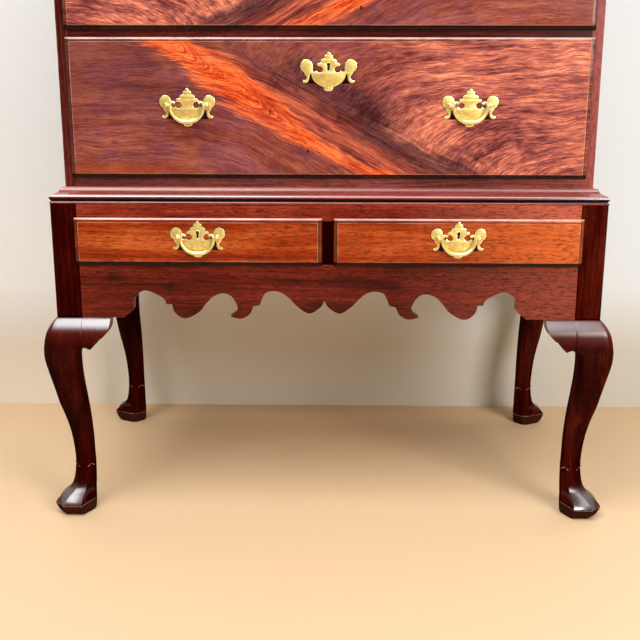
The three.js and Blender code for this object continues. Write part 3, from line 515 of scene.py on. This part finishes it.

# Sides of the base, with their scrolled skirts, and the mitred moulding on top of the base. Its beads
# have painted highlights, most at the left, and painted shade lies under its roll.
for node in ("base_side_left", "base_side_right"):
    dress(node, walnut_material(node, "Y", dark_tones, gloss=0.28))
moulding_walnut = walnut_material(
    "waist_moulding", "X", tones((94, 26, 22), (126, 44, 36), (158, 70, 58)), specular=0.1, coat_ior=2.1,
    haze=0.2)
dress("waist_moulding", moulding_walnut)
moulding_shader, moulding_plain, on_moulding = open_material(moulding_walnut)
moulding_across, _, moulding_rise = axes_of(on_moulding)
# Painted shade under the roll, and painted highlights on the beads that fade to the right.
shade_under_roll = times(spread(moulding_rise, 0.6248, 0.6232), spread(moulding_rise, 0.6174, 0.618))
low_bead_highlight = times(spread(moulding_rise, 0.6256, 0.6268), spread(moulding_rise, 0.6304, 0.6294))
bead_highlights = sums("MAXIMUM", spread(moulding_rise, 0.6345, 0.6362), low_bead_highlight)
bead_highlights = times(bead_highlights, spread(moulding_across, -0.45, 0.15, 0.6, 0.1))
moulding_colour = blend(shade_under_roll, moulding_plain, paint(12, 2, 2))
wire(moulding_shader, {
    "Base Color": blend(bead_highlights, moulding_colour, paint(206, 140, 128)),
    "Coat Weight": times(spread(shade_under_roll, 0, 1, 1, 0.02), spread(moulding_rise, 0.617, 0.6185, 0.35, 1)),
})

# Upper case: sides, rails and boards of the same dark walnut, dovetailed and housed together, with
# the mitred cornice planted on. The bottom rail, just over the moulding, is paler.
case_tones = tones((48, 12, 9), (72, 24, 19), (102, 42, 35))
low_rail_tones = tones((82, 36, 34), (116, 58, 54), (148, 82, 76))
for node in ("case_side_left", "case_side_right", "top_divider", "case_bottom", "case_top", "case_top_rail",
             "drawer_blade_1", "drawer_blade_2", "drawer_blade_3", "cornice"):
    axis = "Z" if "side" in node or node == "top_divider" else "X"
    # The case sides take a painted sheen, which shows on the right one.
    dress(node, walnut_material(
        node, axis, low_rail_tones if node == "case_bottom" else case_tones, gloss=0.26, box=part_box(node),
        faded=paint(182, 96, 90) if "side" in node else None))


# Backs, runners and drawer boxes: unfinished pine and poplar, gone yellow-brown with age, with a
# little grey dirt in the grain.
def bare_wood(name, axis):
    material, shader, place = new_material(name)
    lines = wood_lines(place, axis, wander=0.05)
    mixed = weighted((lines["Streak"], 0.7), (lines["Fibre"], 0.3))
    colour = ramp(mixed, (0.36, 0.5, 0.64), tones((122, 84, 48), (166, 126, 80), (192, 156, 106)))
    grime = spread(stretched(place, (9, 9, 9), 5, 0.65), 0.5, 0.75, 0, 0.4)
    wire(shader, {"Base Color": blend(grime, colour, paint(84, 60, 38)), "Roughness": 0.72})
    raised(shader, lines["Fibre"], 0.3, 0.0008)
    return material


drawer_names = ["lower_left", "lower_right", "long_1", "long_2", "long_3", "top_left", "top_right"]
back_pine = bare_wood("back_pine", "X")
for node in ("base_back", "base_runner", "case_back"):
    dress(node, back_pine)
box_poplar = bare_wood("box_poplar", "Y")
for name in drawer_names:
    dress(f"{name}_box", box_poplar)

# Lower drawer fronts: plain walnut, bleached to a warm orange brown, with the lip moulded all round
# and a small knot beside the upright, and a painted sheen towards the right end. The lip has painted
# light and shade: its lower edge is painted black, its sides dark, its top edge light, and along the
# step between the moulding and the flat lies a painted shadow line with a painted highlight inside it.
lip, lip_in, lip_out = new_group(
    "lip_lines", box_inputs + [("Colour", "Color", (0, 0, 0, 1))], [("Colour", "Color"), ("Polish", "Float")])
from_left, _, from_below = axes_of(vectors("SUBTRACT", lip_in["Place"], lip_in["Low"]))
from_right, _, from_above = axes_of(vectors("SUBTRACT", lip_in["High"], lip_in["Place"]))
from_side = sums("MINIMUM", from_left, from_right)
inside = sums("MINIMUM", sums("MINIMUM", from_side, from_below), from_above)
lip_highlight_noise = stretched(lip_in["Place"], (26, 26, 26), 3, 0.6)
# Painted shade on the side lips, and a painted shadow line along the step.
lip_colour = blend(spread(from_side, 0.0074, 0.0062, 0, 0.55), lip_in["Colour"], paint(30, 8, 6))
lip_colour = blend(near_to(inside, 0.0063, 0.0009, 0.0005, 0.8), lip_colour, paint(28, 8, 6))
# A painted highlight on the field's arris, and one along the top lip.
arris_highlight = times(near_to(inside, 0.0078, 0.001, 0.0005), spread(lip_highlight_noise, 0.35, 0.62, 0.08, 0.6))
lip_colour = blend(arris_highlight, lip_colour, paint(206, 136, 108))
top_lip_highlight = times(spread(from_above, 0.0034, 0.002), spread(lip_highlight_noise, 0.3, 0.6, 0.25, 0.65))
lip_colour = blend(top_lip_highlight, lip_colour, paint(224, 176, 160))
# Painted shade: the lower lip goes near black.
lip_colour = blend(spread(from_below, 0.0086, 0.0068, 0, 0.95), lip_colour, paint(14, 4, 4))
on_lip = times(spread(inside, 0.0074, 0.0064), spread(from_below, 0.008, 0.012))
on_lip = times(on_lip, spread(from_side, 0.006, 0.008, 0.3, 1))
polish = times(spread(on_lip, 0, 1, 0.1, 0.8), spread(from_below, 0.0068, 0.0086))
wire(lip_out, {"Colour": lip_colour, "Polish": polish})


def lipped(shader, colour, place, box):
    lines = put(place.id_data, "ShaderNodeGroup", {
        "Place": place, "Colour": colour, "Low": box[0], "High": box[1]}, node_tree=lip).outputs
    wire(shader, {"Base Color": lines["Colour"], "Coat Weight": lines["Polish"], "Coat IOR": 1.8})


for node in ("lower_left_front", "lower_right_front"):
    warm_walnut = walnut_material(
        node, "X", tones((116, 33, 4), (146, 54, 15), (180, 85, 40)), gloss=0.3, box=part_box(node),
        faded=paint(226, 116, 60), flecks=0.5, knots=((-0.074, 0.573, 0.006),))
    lipped(*open_material(warm_walnut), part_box(node))
    dress(node, warm_walnut)

# Upper drawer fronts: walnut with a figured veneer. A bright flame runs down across the board, a dark
# streak beside it, and at the right end the grain feathers out in arcs.
figure, figure_in, figure_out = new_group(
    "walnut_figure", [("Place", "Vector", (0, 0, 0))], [("Colour", "Color"), ("Fibre", "Float")])
on_sheet = figure_in["Place"]
swirl = put(figure, "ShaderNodeTexNoise", {"Vector": on_sheet, "Scale": 14.0, "Detail": 3.0}).outputs["Color"]
swirl = vectors("MULTIPLY", vectors("SUBTRACT", swirl, (0.5, 0.5, 0.5)), (0.018, 0.0, 0.018))
warped = vectors("ADD", on_sheet, swirl)
across, through, rise = axes_of(warped)


def axes_joined(*axes):
    return put(tree_of(*axes), "ShaderNodeCombineXYZ", dict(enumerate(axes))).outputs[0]


# The spine of the feather runs down to the right at 28 degrees: places along it and off it.
spine_run, square_to_spine = (0.883, 0, -0.470), (0.470, 0, 0.883)
along_spine = plus(vectors("DOT_PRODUCT", warped, spine_run), 0.3784)
off_spine = minus(vectors("DOT_PRODUCT", warped, square_to_spine), 0.7008)

# Below the spine the streaks run level at the left end and bend down to follow the spine.
fall = curve_of(across, [
    (-0.5, 0.95), (-0.3, 0.95), (-0.24, 0.945), (-0.18, 0.92), (-0.12, 0.87), (-0.06, 0.807), (0.0, 0.742),
    (0.25, 0.47), (0.5, 0.199),
])
streak_place = axes_joined(across, minus(rise, times(fall, 0.5)), through)
fine = stretched(streak_place, (34, 520, 1), 3, 0.7)
broad = stretched(streak_place, (6, 90, 1), 3, 0.6)
mottle = stretched(on_sheet, (90, 90, 160), 5, 0.7)
clouds = stretched(on_sheet, (8, 1, 17), 4, 0.6)
patches = stretched(on_sheet, (13, 3, 24), 3, 0.6)

# Above it the barbs leave the spine steeply and curl over until they run level.
above_spine = sums("MAXIMUM", off_spine, 0.0)
curl_end = 0.15
curl = times(sums("POWER", sums("MINIMUM", above_spine, curl_end), 2.0), 5.3)
level_out = times(sums("MAXIMUM", minus(above_spine, curl_end), 0.0), 1.6)
barb_place = axes_joined(off_spine, minus(minus(along_spine, curl), level_out), through)
barbs = stretched(barb_place, (75, 270, 1), 4, 0.65)
barb_broad = stretched(barb_place, (14, 62, 1), 3, 0.6)
streaks_tone = weighted((fine, 0.36), (broad, 0.24), (mottle, 0.12), (clouds, 0.28))
barbs_tone = weighted((barbs, 0.36), (barb_broad, 0.32), (mottle, 0.08), (clouds, 0.24))
upper_side = spread(off_spine, -0.01, 0.03)
tone = plus(streaks_tone, times(minus(barbs_tone, streaks_tone), upper_side))

# Plain wood: purple-brown and red-brown patches at the left, paler and pinker at the right, where
# the paler pink is partly a painted sheen.
purple = ramp(tone, (0.42, 0.5, 0.58), tones((92, 43, 47), (116, 61, 64), (144, 80, 80)))
russet = ramp(tone, (0.42, 0.5, 0.58), tones((102, 45, 38), (129, 66, 54), (158, 90, 70)))
left_wood = blend(spread(patches, 0.42, 0.58), purple, russet)
far_left = spread(across, -0.2, -0.34)
high_left = times(spread(rise, 0.74, 0.82), far_left)
left_wood = blend(times(high_left, 0.4), left_wood, paint(70, 34, 40))
right_wood_and_sheen = ramp(tone, (0.41, 0.46, 0.5, 0.54, 0.6), tones(
    (84, 38, 38), (122, 62, 58), (156, 84, 76), (190, 106, 80), (232, 148, 116)))
wood = blend(spread(across, 0.02, 0.2), left_wood, right_wood_and_sheen)
low_left = times(spread(rise, 0.695, 0.668), far_left)
wood = blend(times(low_left, 0.5), wood, paint(158, 70, 34))

# The flame is a band 45 to 75 mm below the spine, with red streaks above it. Inside it the growth lines
# make nested tongues.
core = curve_of(along_spine, [
    (-0.4, 0.3), (-0.22, 0.46), (-0.08, 0.63), (0.02, 0.76), (0.15, 0.73), (0.4, 0.72)])
from_core = plus(off_spine, times(core, 0.1))
flame_width = curve_of(along_spine, [
    (-0.4, 0.02), (-0.3, 0.024), (-0.22, 0.027), (-0.14, 0.028), (-0.08, 0.024), (-0.03, 0.018), (0.0, 0.013),
    (0.04, 0.011), (0.1, 0.013), (0.16, 0.016), (0.24, 0.018), (0.4, 0.02),
])
flame_strength = curve_of(along_spine, [
    (-0.4, 0.9), (-0.25, 0.95), (-0.15, 1.0), (-0.06, 0.8), (0.0, 0.95), (0.04, 0.95), (0.07, 0.7),
    (0.1, 0.65), (0.14, 0.9), (0.21, 0.85), (0.27, 0.35), (0.32, 0.0), (0.4, 0.0),
])
raggedness = weighted((minus(0.5, broad), 2.2), (minus(0.5, fine), 1.6))
ragged = plus(sums("DIVIDE", sums("ABSOLUTE", from_core), flame_width), raggedness)
flame = times(spread(ragged, 1.3, 0.75), flame_strength, clamp=True)
tongue = plus(along_spine, times(sums("POWER", from_core, 2.0), 230.0))
tongue_noise = stretched(axes_joined(tongue, through), (40, 1, 1), 2, 0.5)
tongue_edge = sums("PINGPONG", tongue_noise, 0.055)
tongue_lines = times(spread(tongue_edge, 0.026, 0.01), spread(along_spine, 0.0, -0.05), clamp=True)
bright = ramp(tone, (0.42, 0.47, 0.53, 0.6), tones(
    (158, 46, 20), (204, 80, 38), (238, 114, 60), (252, 148, 92)))
bright = blend(times(tongue_lines, 0.8), bright, paint(158, 40, 12))
red_side = times(near_to(off_spine, -0.034, 0.036, 0.02), spread(along_spine, 0.3, 0.16))
reds = ramp(weighted((fine, 0.4), (broad, 0.45), (clouds, 0.15)), (0.41, 0.48, 0.53, 0.6), tones(
    (84, 36, 32), (130, 62, 52), (168, 82, 62), (206, 106, 70)))

# A dark streak follows the spine to the right, and over its upper end the wood is dark and confused.
dark_far = vectors("LENGTH", axes_joined(
    sums("DIVIDE", along_spine, 0.15), sums("DIVIDE", minus(off_spine, 0.02), 0.045)))
dark_zone = spread(plus(dark_far, times(minus(0.5, barb_broad), 2.2)), 1.1, 0.6)
wavering = weighted((minus(clouds, 0.5), 0.08), (minus(broad, 0.5), 0.05))
spine_strength = curve_of(along_spine, [
    (-0.4, 0.3), (-0.1, 0.4), (0.03, 0.6), (0.1, 0.95), (0.18, 1.0), (0.26, 0.9), (0.4, 0.3)])
spine_streak = times(
    spread(sums("ABSOLUTE", plus(off_spine, wavering)), 0.036, 0.016), spine_strength, clamp=True)
dark_share = sums("MAXIMUM", times(dark_zone, 0.72), spine_streak, clamp=True)
shadow = ramp(tone, (0.42, 0.49, 0.55, 0.61), tones((32, 12, 16), (62, 34, 38), (92, 54, 54), (124, 76, 72)))
figure_colour = blend(red_side, wood, reds)
figure_colour = blend(flame, figure_colour, bright)
figure_colour = blend(times(dark_share, 0.9), figure_colour, shadow)

# Two pin knots, and open pores all over.
for x, z in ((-0.105, 0.778), (-0.037, 0.708)):
    from_knot = vectors("DISTANCE", vectors("MULTIPLY", on_sheet, (1, 0, 0.7)), (x, 0, z * 0.7))
    figure_colour = blend(spread(from_knot, 0.0032, 0.0014, 0, 0.9), figure_colour, paint(46, 14, 12))
pores = spread(stretched(streak_place, (80, 1300, 1), 1), 0.6, 0.7, 0, 0.4)
wire(figure_out, {"Colour": blend(pores, figure_colour, paint(60, 24, 22)), "Fibre": fine})


# The veneer is on the outside, and the inner face of a front is plain wood.
def figured_material(name, shift, scale, box):
    material, shader, place = new_material(name)
    tree = material.node_tree
    laid = put(tree, "ShaderNodeMapping", {"Vector": place, "Location": shift, "Scale": scale}).outputs[0]
    veneer = put(tree, "ShaderNodeGroup", {"Place": laid}, node_tree=figure).outputs
    plain_back = ramp(veneer["Fibre"], (0.36, 0.64), tones((104, 58, 38), (158, 98, 64)))
    faces_in = axes_of(put(tree, "ShaderNodeNewGeometry").outputs["Normal"])[1]
    lipped(shader, blend(spread(faces_in, 0.3, 0.6), veneer["Colour"], plain_back), place, box)
    wire(shader, {"Roughness": spread(veneer["Fibre"], 0.3, 0.7, 0.22, 0.36), "Specular IOR Level": 0.14,
                  "Coat Roughness": 0.14})
    raised(shader, veneer["Fibre"], 0.1, 0.0005)
    return material


# Where each front lies on the veneer: its shift and its scale, and a minus turns it over.
for name, shift, scale in (
        ("long_1", (0, 0, 0), (1, 1, 1)),
        ("long_2", (0.02, 0.4, -0.249), (-1, 1, 1)),
        ("long_3", (0.05, 0.9, -0.471), (1, 1, 1)),
        ("top_left", (0.3, 1.4, -0.66), (1.2, 1, 1)),
        ("top_right", (0.02, 1.8, -0.66), (-1.2, 1, 1))):
    node = f"{name}_front"
    dress(node, figured_material(node, shift, scale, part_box(node)))

# Back plates and escutcheons: cast brass, filed to a bevel all round, with two scrolled ears, a
# pointed top and a lobed bottom. The flats have a brown patina, the edges are rubbed bright, and a
# dark rim of old wax round them is also their painted contact shadow. Half an outline: x, z, and
# whether the point is a sharp one, in millimetres.
plate_edge = (
    (0, 29.4, 0), (2.9, 27.6, 0), (3.9, 24.8, 1), (6.9, 23.6, 0), (7.9, 20.9, 0), (7.4, 19, 1),
    (10.6, 17.6, 0), (13.4, 15.8, 0), (14.3, 13, 0), (12.9, 11.2, 1),
    (16, 11.2, 0), (19.8, 9, 0), (20.6, 6.6, 0), (18.6, 5, 0), (15.8, 4.8, 1),
    (12.6, 3.2, 0), (10.6, -0.8, 0), (12, -4.6, 0), (15.6, -6.2, 0), (19.2, -5, 0), (22, -2.2, 1),
    (24.2, -4.4, 0), (27, -4.6, 0), (28.4, -2.2, 1), (28.3, 4.6, 0), (31.6, 13.2, 0), (39.5, 16.8, 0),
    (47.5, 13.4, 0), (50.6, 5.6, 0), (48.4, -1.8, 0), (44.2, -5.2, 1), (42.6, -9.4, 0), (39.6, -13.4, 0),
    (39.8, -17, 0), (41.8, -19, 1), (45.2, -19.4, 0), (46.4, -22, 0), (43.4, -24.2, 0), (38.4, -23.4, 0),
    (35.6, -20.4, 0), (34, -14, 0), (33.4, -9.4, 1), (31.2, -8.6, 1), (29.8, -14, 0), (26, -20.6, 0),
    (20, -25.8, 0), (13.8, -29.4, 1), (8.4, -32, 1), (7.8, -36, 0), (4.2, -38.2, 0), (0, -38.6, 0),
)
keyhole_edge = ((0, 11, 0), (3, 9.6, 0), (3.3, 6.9, 0), (2.55, 4.8, 1), (2.55, -2.6, 1), (0, -3.5, 0))
plate_rise = 0.029
half_boring = 0.03625


def whole_outline(half):
    return list(half) + [(-x, z, crisp) for x, z, crisp in reversed(half[1:-1])]


# A flat casting with filed edges, or else a round rod along the line. With radii the rod has two
# ends, and every other line is closed.
def spline_piece(outlines, depth, edge, flat=True, radii=None, outward=0.0):
    line = bpy.data.curves.new("outline", "CURVE")
    line.dimensions = "2D" if flat else "3D"
    line.fill_mode = "BOTH" if flat else "FULL"
    line.extrude = depth / 2 - edge if flat else 0
    line.bevel_depth = edge
    line.bevel_resolution = 1 if flat else 3
    line.offset = outward - edge if flat else 0
    line.resolution_u = 5
    line.use_fill_caps = True
    for outline in outlines:
        spline = line.splines.new("BEZIER")
        spline.bezier_points.add(len(outline) - 1)
        spline.use_cyclic_u = radii is None
        for index, (knot, (x, z, crisp)) in enumerate(zip(spline.bezier_points, outline)):
            knot.co = (x, z, 0)
            knot.handle_left_type = knot.handle_right_type = "VECTOR" if crisp else "AUTO"
            knot.radius = radii[index] if radii else 1
    holder = bpy.data.objects.new("outline", line)
    made = bmesh.new()
    made.from_mesh(bpy.data.meshes.new_from_object(holder))
    bpy.data.objects.remove(holder)
    bmesh.ops.rotate(made, verts=made.verts, matrix=Matrix.Rotation(math.pi / 2, 3, "X"))
    bmesh.ops.scale(made, verts=made.verts, vec=(0.001, 0.001, 0.001))
    return made


def brass_material(name, colours, rough):
    material, shader, place = new_material(name)
    stain = stretched(place, (120, 120, 120), 5, 0.7)
    wire(shader, {"Base Color": ramp(stain, (0.36, 0.52, 0.66), colours), "Metallic": 0.75,
                  "Roughness": spread(stain, 0.3, 0.7, rough + 0.12, rough - 0.06)})
    raised(shader, stretched(place, (900, 900, 900), 3, 0.6), 0.15, 0.0003)
    return material


plate_brass = brass_material("plate_brass", tones((204, 174, 96), (230, 202, 120), (246, 226, 152)), 0.42)
bright_brass = brass_material("bright_brass", tones((238, 222, 140), (252, 242, 172), (255, 250, 206)), 0.24)
old_wax = walnut_material("old_wax", "X", tones((20, 6, 6), (34, 10, 8), (50, 18, 14)))
# The keyhole's dark sheet is painted shade: the dark inside of the hole.
hole_black, hole_shader, in_hole = new_material("keyhole_dark")
keyhole_shade_colour = ramp(stretched(in_hole, (700, 700, 700), 3), (0.4, 0.7), (
    (0.002, 0.0015, 0.001), (0.012, 0.008, 0.005)))
wire(hole_shader, {"Base Color": keyhole_shade_colour, "Roughness": 0.9})

# The bail's line, from one end to the middle: x, z, whether it is sharp there, and its radius. The
# same line, a little lower, is laid as a dark rod on the plate behind the bail: a painted shadow.
bail_line = (
    (21.4, 2.2, 0, 2.4), (23.2, 4.2, 0, 2.0), (26.6, 4.4, 0, 1.9), (29.2, 1.6, 0, 2.2), (30, -4, 0, 2.4),
    (28.9, -11.5, 0, 2.45), (25, -19, 0, 2.6), (19.2, -24.8, 0, 3), (12.4, -28.4, 0, 3.5), (6, -29.8, 0, 3.8),
    (0, -30, 0, 3.9),
)
bail_shade_half = [(x * 1.02, z - 3, 0) for x, z, _, _ in bail_line[4:]]
bail_shade_path = bail_shade_half + [(-x, z, crisp) for x, z, crisp in reversed(bail_shade_half[:-1])]


# The point of the drawer's face behind the middle of a plate, level with its posts.
def plate_centre(node):
    low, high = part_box(node)
    drawer = node.replace("pull_plate_", "").replace("escutcheon_", "")
    if drawer.startswith("long"):
        drawer = drawer[:len("long_1")]
    return Vector(((low.x + high.x) / 2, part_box(f"{drawer}_front")[0].y, high.z - plate_rise))


# Turns a profile of radius against forward reach, in millimetres, about the drawer's depth.
def spun(profile, steps):
    turned = bmesh.new()
    verts = [turned.verts.new((radius / 1000, -reach / 1000, 0)) for radius, reach in profile]
    edges = [turned.edges.new(pair) for pair in zip(verts, verts[1:])]
    bmesh.ops.spin(turned, geom=verts + edges, cent=(0, 0, 0), axis=(0, 1, 0), angle=math.tau, steps=steps,
                   use_merge=True)
    bmesh.ops.remove_doubles(turned, verts=turned.verts, dist=2e-6)
    return turned


def fit_brass(name, made, material, body, centre, forward=0.0, across=0.0, up=0.0, replaced=()):
    bmesh.ops.translate(made, verts=made.verts, vec=centre + Vector((across, -forward, up)))
    return finish_piece(name, made, material, body, replaced)


# Each row: the CAD node, its body, whether it has posts, and whether it has a keyhole.
plates = []
for name in drawer_names:
    body = f"drawer_{name}"
    if name.startswith("long"):
        plates.append((f"escutcheon_{name}", body, False, True))
        plates += [(f"pull_plate_{name}_{side}", body, True, False) for side in ("left", "right")]
    else:
        plates.append((f"pull_plate_{name}", body, True, not name.startswith("top")))

for node, body, posts, keyed in plates:
    centre = plate_centre(node)
    nut_back = (centre.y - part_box(node)[1].y) * 1000
    outlines = [whole_outline(plate_edge)] + ([whole_outline(keyhole_edge)] if keyed else [])
    piece = fit_brass(f"{node}_cast", spline_piece(outlines, 3, 1.4), plate_brass, body, centre,
                      forward=0.0003, replaced=[node])
    # Dark wax rim round the plate, which also paints its contact shadow.
    wax_and_shadow = spline_piece([whole_outline(plate_edge)], 0.3, 0.02, outward=0.7)
    fit_brass(f"{node}_wax", wax_and_shadow, old_wax, body, centre, forward=0.0001)
    piece.data.materials.append(bright_brass)
    for face in piece.data.polygons:
        if face.normal.y > -0.95:
            face.material_index = 1
    if keyed:
        rim = spline_piece([whole_outline(keyhole_edge)], 0, 0.7, flat=False)
        fit_brass(f"{node}_keyhole_rim", rim, bright_brass, body, centre, forward=0.0017)
        # A dark sheet on the face behind the keyhole paints the shade inside the hole.
        shade = spline_piece([whole_outline(keyhole_edge)], 0.4, 0.02)
        fit_brass(f"{node}_keyhole", shade, hole_black, body, centre, forward=0.0002)
        nail = spun([(0, 2.7), (1.1, 2.5), (1.9, 1.7), (2.1, 0.8)], 14)
        fit_brass(f"{node}_nail", nail, bright_brass, body, centre, up=-0.0067 if posts else -0.0335)
    if posts:
        # A dark rod under the bail's line on the plate: the bail's painted shadow.
        bail_shade_rod = spline_piece([bail_shade_path], 0, 1.0, flat=False, radii=[0.9] * len(bail_shade_path))
        fit_brass(f"{node}_polish_line", bail_shade_rod, old_wax, body, centre, forward=0.0013)
        for side, sign in (("left", -1), ("right", 1)):
            post_piece = spun([
                (0, 14.2), (1.8, 14.1), (3.5, 13), (4.5, 11), (4.6, 8.6), (3.7, 6.2), (2.5, 4.8), (2.4, 3.4),
                (3.7, 2.6), (4.1, 1.2), (2.1, 1.1), (2.1, nut_back + 3), (4.6, nut_back + 3),
                (5, nut_back + 2.6), (5, nut_back + 0.5), (4.5, nut_back), (1.9, nut_back),
                (1.8, nut_back - 0.8), (0, nut_back - 1),
            ], 10)
            fit_brass(f"{node}_post_{side}", post_piece, bright_brass, body, centre,
                      across=sign * half_boring)


# Bails: cast brass loops that thicken towards the middle. Their ends curl in above short pins, which
# turn in the post heads.
def join(whole, part):
    ready = bpy.data.meshes.new("part")
    part.to_mesh(ready)
    part.free()
    whole.from_mesh(ready)


pin_forward = 0.0096
bail_half = [(-x, z, crisp, radius) for x, z, crisp, radius in bail_line]
bail_path = bail_half[:-1] + list(reversed(bail_line))
for node in [name for name in nodes if name.startswith("bail_")]:
    loop = spline_piece([[row[:3] for row in bail_path]], 0, 1.0, flat=False,
                        radii=[row[3] for row in bail_path])
    for sign in (-1, 1):
        ends = [(sign * 28.4, 0, 1), (sign * 35.2, 0, 1)]
        join(loop, spline_piece([ends], 0, 1.0, flat=False, radii=[1.5, 1.3]))
    centre = plate_centre(node.replace("bail_", "pull_plate_"))
    fit_brass(f"{node}_cast", loop, bright_brass, node, centre, forward=pin_forward, replaced=[node])

# Locks, inside the drawers that have a keyhole: a brass plate nailed to the back of the front, with the
# case for the works on it. Each row: width, depth, and how far the block goes on below the case.
for name in [item for item in drawer_names if not item.startswith("top")]:
    low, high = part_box(f"{name}_front")
    middle = (low.x + high.x) / 2
    keyhole_node = f"escutcheon_{name}" if name.startswith("long") else f"pull_plate_{name}"
    lock_low = plate_centre(keyhole_node).z - 0.017
    lock_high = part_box(f"{name}_box")[1].z - 0.001
    lock = bmesh.new()
    for width, depth, below in ((0.088, 0.0024, 0.005), (0.062, 0.01, 0)):
        made = bmesh.ops.create_cube(lock, size=1)["verts"]
        bmesh.ops.scale(lock, verts=made, vec=(width, depth, lock_high - lock_low + below))
        bmesh.ops.translate(lock, verts=made, vec=(
            middle, high.y + depth / 2 - 0.001, (lock_high + lock_low - below) / 2))
    bmesh.ops.bevel(lock, geom=lock.edges[:], offset=0.0008, offset_type="OFFSET", affect="EDGES", segments=2,
                    profile=0.5, material=-1)
    for sign in (-1, 1):
        for height in (lock_low + 0.002, lock_high - 0.006):
            nail = spun([(0, 1.4), (1.2, 1.1), (2, 0.3), (2.1, -0.6)], 10)
            bmesh.ops.rotate(nail, verts=nail.verts, matrix=Matrix.Rotation(math.pi, 3, "Z"))
            bmesh.ops.translate(nail, verts=nail.verts, vec=(middle + sign * 0.037, high.y + 0.0012, height))
            join(lock, nail)
    finish_piece(f"lock_{name}", lock, plate_brass, f"drawer_{name}")


# Floor and wall: plain pale sheets. The wall has painted shade: it is a little darker at the right
# and near the floor, and it can be seen through from behind.
def stage_sheet(name, half, place, roughness):
    material, shader, on_sheet = new_material(name)
    wire(shader, {"Roughness": roughness})
    sheet = bmesh.new()
    bmesh.ops.create_grid(sheet, x_segments=1, y_segments=1, size=half, matrix=place)
    mesh = bpy.data.meshes.new(name)
    sheet.to_mesh(mesh)
    sheet.free()
    mesh.materials.append(material)
    placed = bpy.data.objects.new(name, mesh)
    bpy.context.scene.collection.objects.link(placed)
    return shader, on_sheet


floor_shader, _ = stage_sheet("floor", 7, Matrix.Identity(4), 0.6)
wire(floor_shader, {"Base Color": paint(224, 190, 149)})
wall_place = Matrix.Translation((0, 0.378, 6)) @ Matrix.Rotation(math.pi / 2, 4, "X")
wall_shader, on_wall = stage_sheet("wall", 6, wall_place, 0.8)
wall_across, _, wall_rise = axes_of(on_wall)
# Painted shade: the wall darkens towards the right and near the floor.
wall_colour = blend(spread(wall_across, -0.7, 0.8), paint(250, 253, 254), paint(224, 233, 238))
wall_colour = blend(spread(wall_rise, 0.32, 0.16), wall_colour, paint(234, 221, 203), "MULTIPLY")
wire(wall_shader, {"Base Color": wall_colour})
wall_tree = wall_shader.id_data
one_way = put(wall_tree, "ShaderNodeMixShader", {
    0: put(wall_tree, "ShaderNodeNewGeometry").outputs["Backfacing"], 1: wall_shader.outputs[0],
    2: put(wall_tree, "ShaderNodeBsdfTransparent").outputs[0]})
wire(wall_tree.nodes["Material Output"], {"Surface": one_way.outputs[0]})

# Light: a pale room, two broad cool lamps overhead, the stronger one at the left, and two warmer ones
# at the right, in front, that light the fronts and the legs.
world = bpy.data.worlds.new("room")
bpy.context.scene.world = world
world.use_nodes = True
room = world.node_tree
sky = wire(room.nodes["Background"], {"Color": paint(236, 226, 208), "Strength": 0.22})
seen = put(room, "ShaderNodeBackground", {"Color": paint(236, 234, 228), "Strength": 0.8})
mixed_sky = put(room, "ShaderNodeMixShader", {
    0: put(room, "ShaderNodeLightPath").outputs["Is Camera Ray"], 1: sky.outputs[0], 2: seen.outputs[0]})
wire(room.nodes["World Output"], {"Surface": mixed_sky.outputs[0]})
for name, place, aim, size, power, colour in (
        ("lamp_right", (1.9, -2.7, 1.9), (0.2, 0, 0.6), (1.3, 1.3), 36, (1, 0.96, 0.93)),
        ("lamp_low", (1.6, -2.2, 1.4), (0.5, -0.28, 0.6), (1.1, 1.1), 30, (1, 0.97, 0.95)),
        ("lamp_above_left", (-0.95, -1.55, 3.0), (-0.95, -0.2, 0.35), (1.5, 2.2), 78, (0.93, 0.96, 1)),
        ("lamp_above_right", (0.55, -1.55, 3.0), (0.55, -0.2, 0.35), (1.5, 2.2), 34, (0.93, 0.96, 1))):
    lamp = bpy.data.lights.new(name, "AREA")
    lamp.shape = "RECTANGLE"
    lamp.size, lamp.size_y = size
    lamp.energy = power
    lamp.color = colour
    holder = bpy.data.objects.new(name, lamp)
    holder.location = place
    holder.rotation_euler = (Vector(aim) - Vector(place)).to_track_quat("-Z", "Y").to_euler()
    bpy.context.scene.collection.objects.link(holder)

# Camera, fitted to the corners and feet of the base in the photograph: two metres in front, a little
# over the base, looking slightly down.
pitch, yaw, roll = math.radians(14.141), math.radians(-0.940), math.radians(0.092)
ahead = Vector((math.sin(yaw) * math.cos(pitch), math.cos(yaw) * math.cos(pitch), -math.sin(pitch)))
level_right = Vector((math.cos(yaw), -math.sin(yaw), 0))
level_up = level_right.cross(ahead)
right = level_right * math.cos(roll) + level_up * math.sin(roll)
up = level_up * math.cos(roll) - level_right * math.sin(roll)
camera = bpy.data.cameras.new("camera")
camera.lens = 54.11
camera.sensor_width = 36
viewer = bpy.data.objects.new("camera", camera)
viewer.matrix_world = Matrix.Translation((0.0145, -2.0287, 0.8378)) @ Matrix(
    (right, up, -ahead)).transposed().to_4x4()
bpy.context.scene.collection.objects.link(viewer)
bpy.context.scene.camera = viewer
bpy.context.scene.view_settings.view_transform = "Standard"
